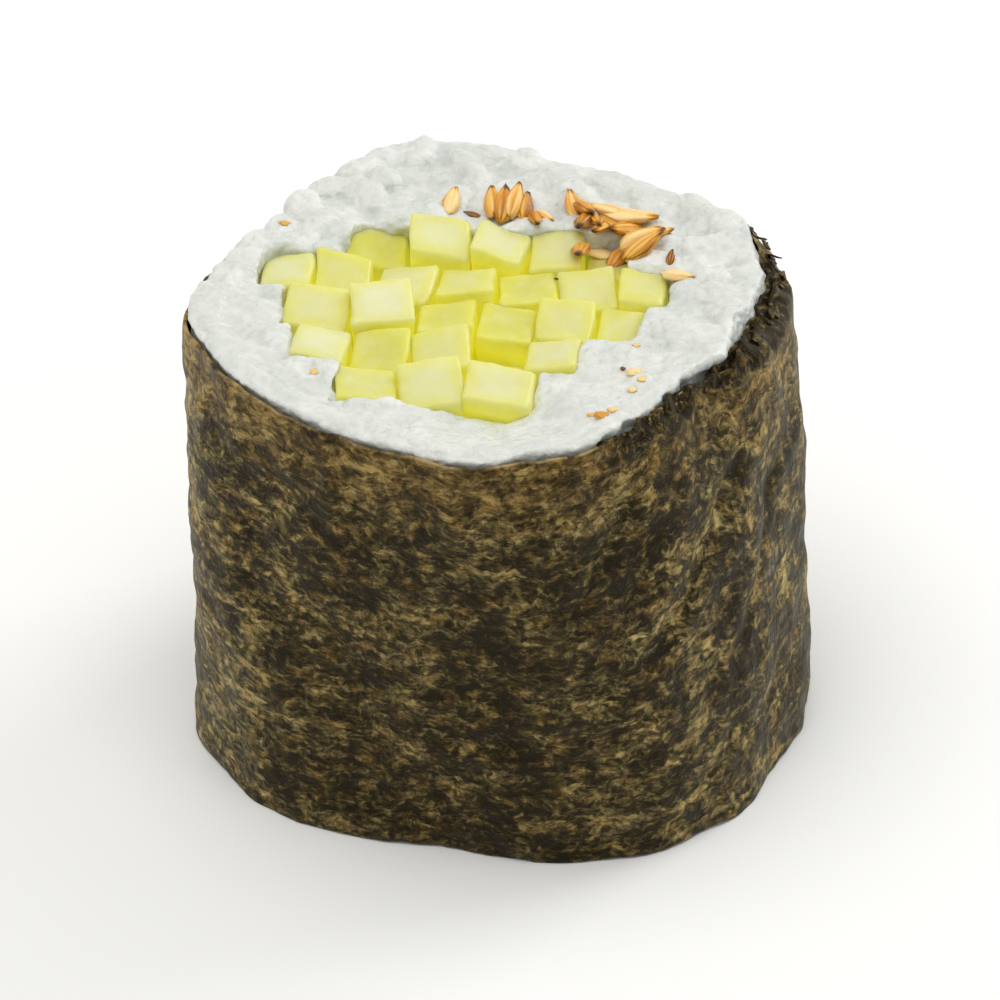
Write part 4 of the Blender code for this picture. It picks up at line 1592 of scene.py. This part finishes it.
# %% Places of the seeds
# x and y in mm, yaw of the tip, pitch and roll in degrees, share of full length, toasting 0 to 1
SEEDS = (
    (-3.1, 8.3, 80.0, 12.0, 20.0, 0.75, 0.15),
    (-2.05, 7.7, 160.0, 5.0, 0.0, 0.36, 1.0),
    (-1.0, 8.4, 95.0, 14.0, -30.0, 0.8, 0.45),
    (-0.4, 8.1, 84.0, 18.0, 10.0, 0.9, 0.65),
    (0.2, 8.4, 78.0, 14.0, 30.0, 0.9, 0.35),
    (0.8, 8.2, 84.0, 20.0, 40.0, 0.75, 0.7),
    (1.3, 7.0, -80.0, 10.0, 20.0, 0.6, 0.6),
    (1.8, 7.5, -50.0, 5.0, -20.0, 0.5, 0.15),
    (3.3, 8.5, 104.0, 14.0, 15.0, 0.8, 0.35),
    (3.9, 7.6, -70.0, 20.0, -25.0, 0.85, 0.6),
    (3.8, 6.5, -105.0, 15.0, 25.0, 0.85, 0.75),
    (4.5, 6.7, -80.0, 18.0, -30.0, 0.7, 0.55),
    (4.7, 5.7, 170.0, 5.0, 0.0, 0.6, 0.0),
    (4.8, 6.3, -120.0, 14.0, 20.0, 0.75, 0.5),
    (5.2, 7.7, 166.0, 8.0, 20.0, 0.9, 0.15),
    (6.2, 7.2, -4.0, 6.0, -15.0, 1.1, 0.0),
    (5.4, 6.5, 150.0, 14.0, 10.0, 0.8, 0.8),
    (6.1, 6.3, -150.0, 20.0, -30.0, 0.8, 0.6),
    (5.8, 5.2, 60.0, 12.0, 10.0, 0.8, 0.75),
    (6.9, 5.3, 24.0, 16.0, 35.0, 0.95, 0.3),
    (7.0, 4.4, 36.0, 22.0, -10.0, 0.95, 0.5),
    (7.6, 5.9, 10.0, 10.0, 10.0, 0.7, 0.2),
    (3.7, 4.3, -98.0, 22.0, 15.0, 0.85, 0.6),
    (8.4, 3.6, 80.0, 25.0, 0.0, 0.36, 0.95),
    (8.8, 2.2, -12.0, 3.0, 0.0, 0.65, 0.0),
)
print(len(SEEDS), "seeds")

# %% Surface to land on
LANDING_STEPS = ((0.0, 0.0), (0.5, 0.0), (-0.5, 0.0), (0.0, 0.5), (0.0, -0.5))
RAY_FROM = 0.04

bpy.context.view_layer.update()
graph = bpy.context.evaluated_depsgraph_get()
landing = [BVHTree.FromObject(piece, graph) for piece in [rice_top] + sticks]


def surface_under(x, y):
    """Height of the rice or cucumber at a place, looking down: the second highest of five rays."""
    heights = []
    for aside, ahead in LANDING_STEPS:
        start = Vector((x + aside * MM, y + ahead * MM, RAY_FROM))
        found = [surface.ray_cast(start, Vector((0.0, 0.0, -1.0)))[0] for surface in landing]
        heights.append(max((hit.z for hit in found if hit), default=RICE_HEIGHT))
    return sorted(heights)[3]


print("seeds can land on", len(landing), "pieces")

# %% Sesame seeds
# A ball's poles become the seed's ends. It narrows towards the tip, thin ribs run along it, and
# the rim and the roasted tip are darker, with painted shade in the rib valleys.
SEED_LENGTH = 2.7 * MM
SEED_WIDTH = 1.3 * MM
SEED_THICK = 0.8 * MM
SEED_SUNK = 0.22 * MM
TIP_RISE = 0.008 * MM

seeds = bmesh.new()
tip_layer = seeds.verts.layers.float.new("roast_and_shade")
for x, y, yaw, pitch, roll, size, toasting in SEEDS:
    made = bmesh.ops.create_uvsphere(seeds, u_segments=24, v_segments=14, radius=0.5)["verts"]
    turn = Euler((math.radians(roll), -math.radians(pitch), math.radians(yaw))).to_matrix()
    rest = surface_under(x * MM, y * MM) + 0.5 * SEED_THICK * size - SEED_SUNK + TIP_RISE * pitch
    for corner in made:
        shape = Vector((corner.co.z, corner.co.x, corner.co.y))
        point = 0.5 + shape.x
        taper = 1.0 - 0.42 * smooth_step((point - 0.3) / 0.75)
        round_it = Vector((shape.y, shape.z, 0.0)).normalized()
        rib = noise.noise(Vector((4.0 * round_it.x + x, 4.0 * round_it.y + y, 0.8 * point)))
        wrinkle = 0.09 * rib + 0.07 * noise.noise(shape * 5.0 + Vector((x, y, 0.0)))
        dark_rim = smooth_step((abs(shape.y) - 0.38) / 0.12)
        dark_tip = smooth_step((point - 0.80) / 0.20)
        # Roasting, the darker rim and tip, and painted shade in the rib valleys, as one value.
        roasted = 0.75 * toasting + 0.2 * dark_rim + 0.6 * dark_tip - 0.45 * rib
        corner[tip_layer] = min(max(roasted, 0.0), 1.0)
        shape *= Vector((SEED_LENGTH, SEED_WIDTH * taper, SEED_THICK * taper))
        corner.co = turn @ (shape * (1.0 + 2.0 * wrinkle) * size) + Vector((x * MM, y * MM, rest))
seed_piece = new_piece("sesame_seeds", seeds, sesame_material, sharp_angle=180.0)
report(seed_piece)

# %% Sesame crumbs
# Crumbs of husk lie on the rice: x, y and size in mm, stretch along x, darkness as for the seeds
CRUMBS = (
    (6.0, -6.7, 0.28, 1.0, 0.85),
    (6.6, -7.3, 0.6, 1.4, 0.0),
    (7.0, -8.0, 0.45, 1.2, 0.1),
    (6.5, -8.7, 0.4, 1.2, 0.0),
    (6.7, -4.3, 0.3, 1.5, 0.1),
    (5.0, -11.2, 0.6, 1.3, 0.45),
    (5.5, -10.7, 0.4, 1.4, 0.1),
    (4.4, -11.0, 0.3, 1.2, 0.3),
    (-9.8, -7.9, 0.45, 0.9, 0.2),
    (2.5, 2.4, 0.2, 1.3, 0.9),
    (8.2, 6.1, 0.4, 1.1, 0.9),
    (-11.8, 5.9, 0.4, 1.4, 0.35),
)
CRUMB_FLATNESS = 0.35

crumbs = bmesh.new()
crumb_layer = crumbs.verts.layers.float.new("roast_and_shade")
for x, y, size, stretch, darkness in CRUMBS:
    made = bmesh.ops.create_icosphere(crumbs, subdivisions=3, radius=0.5)["verts"]
    rest = surface_under(x * MM, y * MM)
    for corner in made:
        shape = corner.co.copy()
        shape *= 1.0 + 0.6 * noise.noise(shape * 3.5 + Vector((x, y, 0.0)))
        corner[crumb_layer] = darkness
        shape *= Vector((size * stretch, size, CRUMB_FLATNESS * size))
        corner.co = (Vector((x, y, 0.0)) + shape) * MM + Vector((0.0, 0.0, rest))
crumb_piece = new_piece("sesame_crumbs", crumbs, sesame_material, sharp_angle=180.0)
report(crumb_piece)
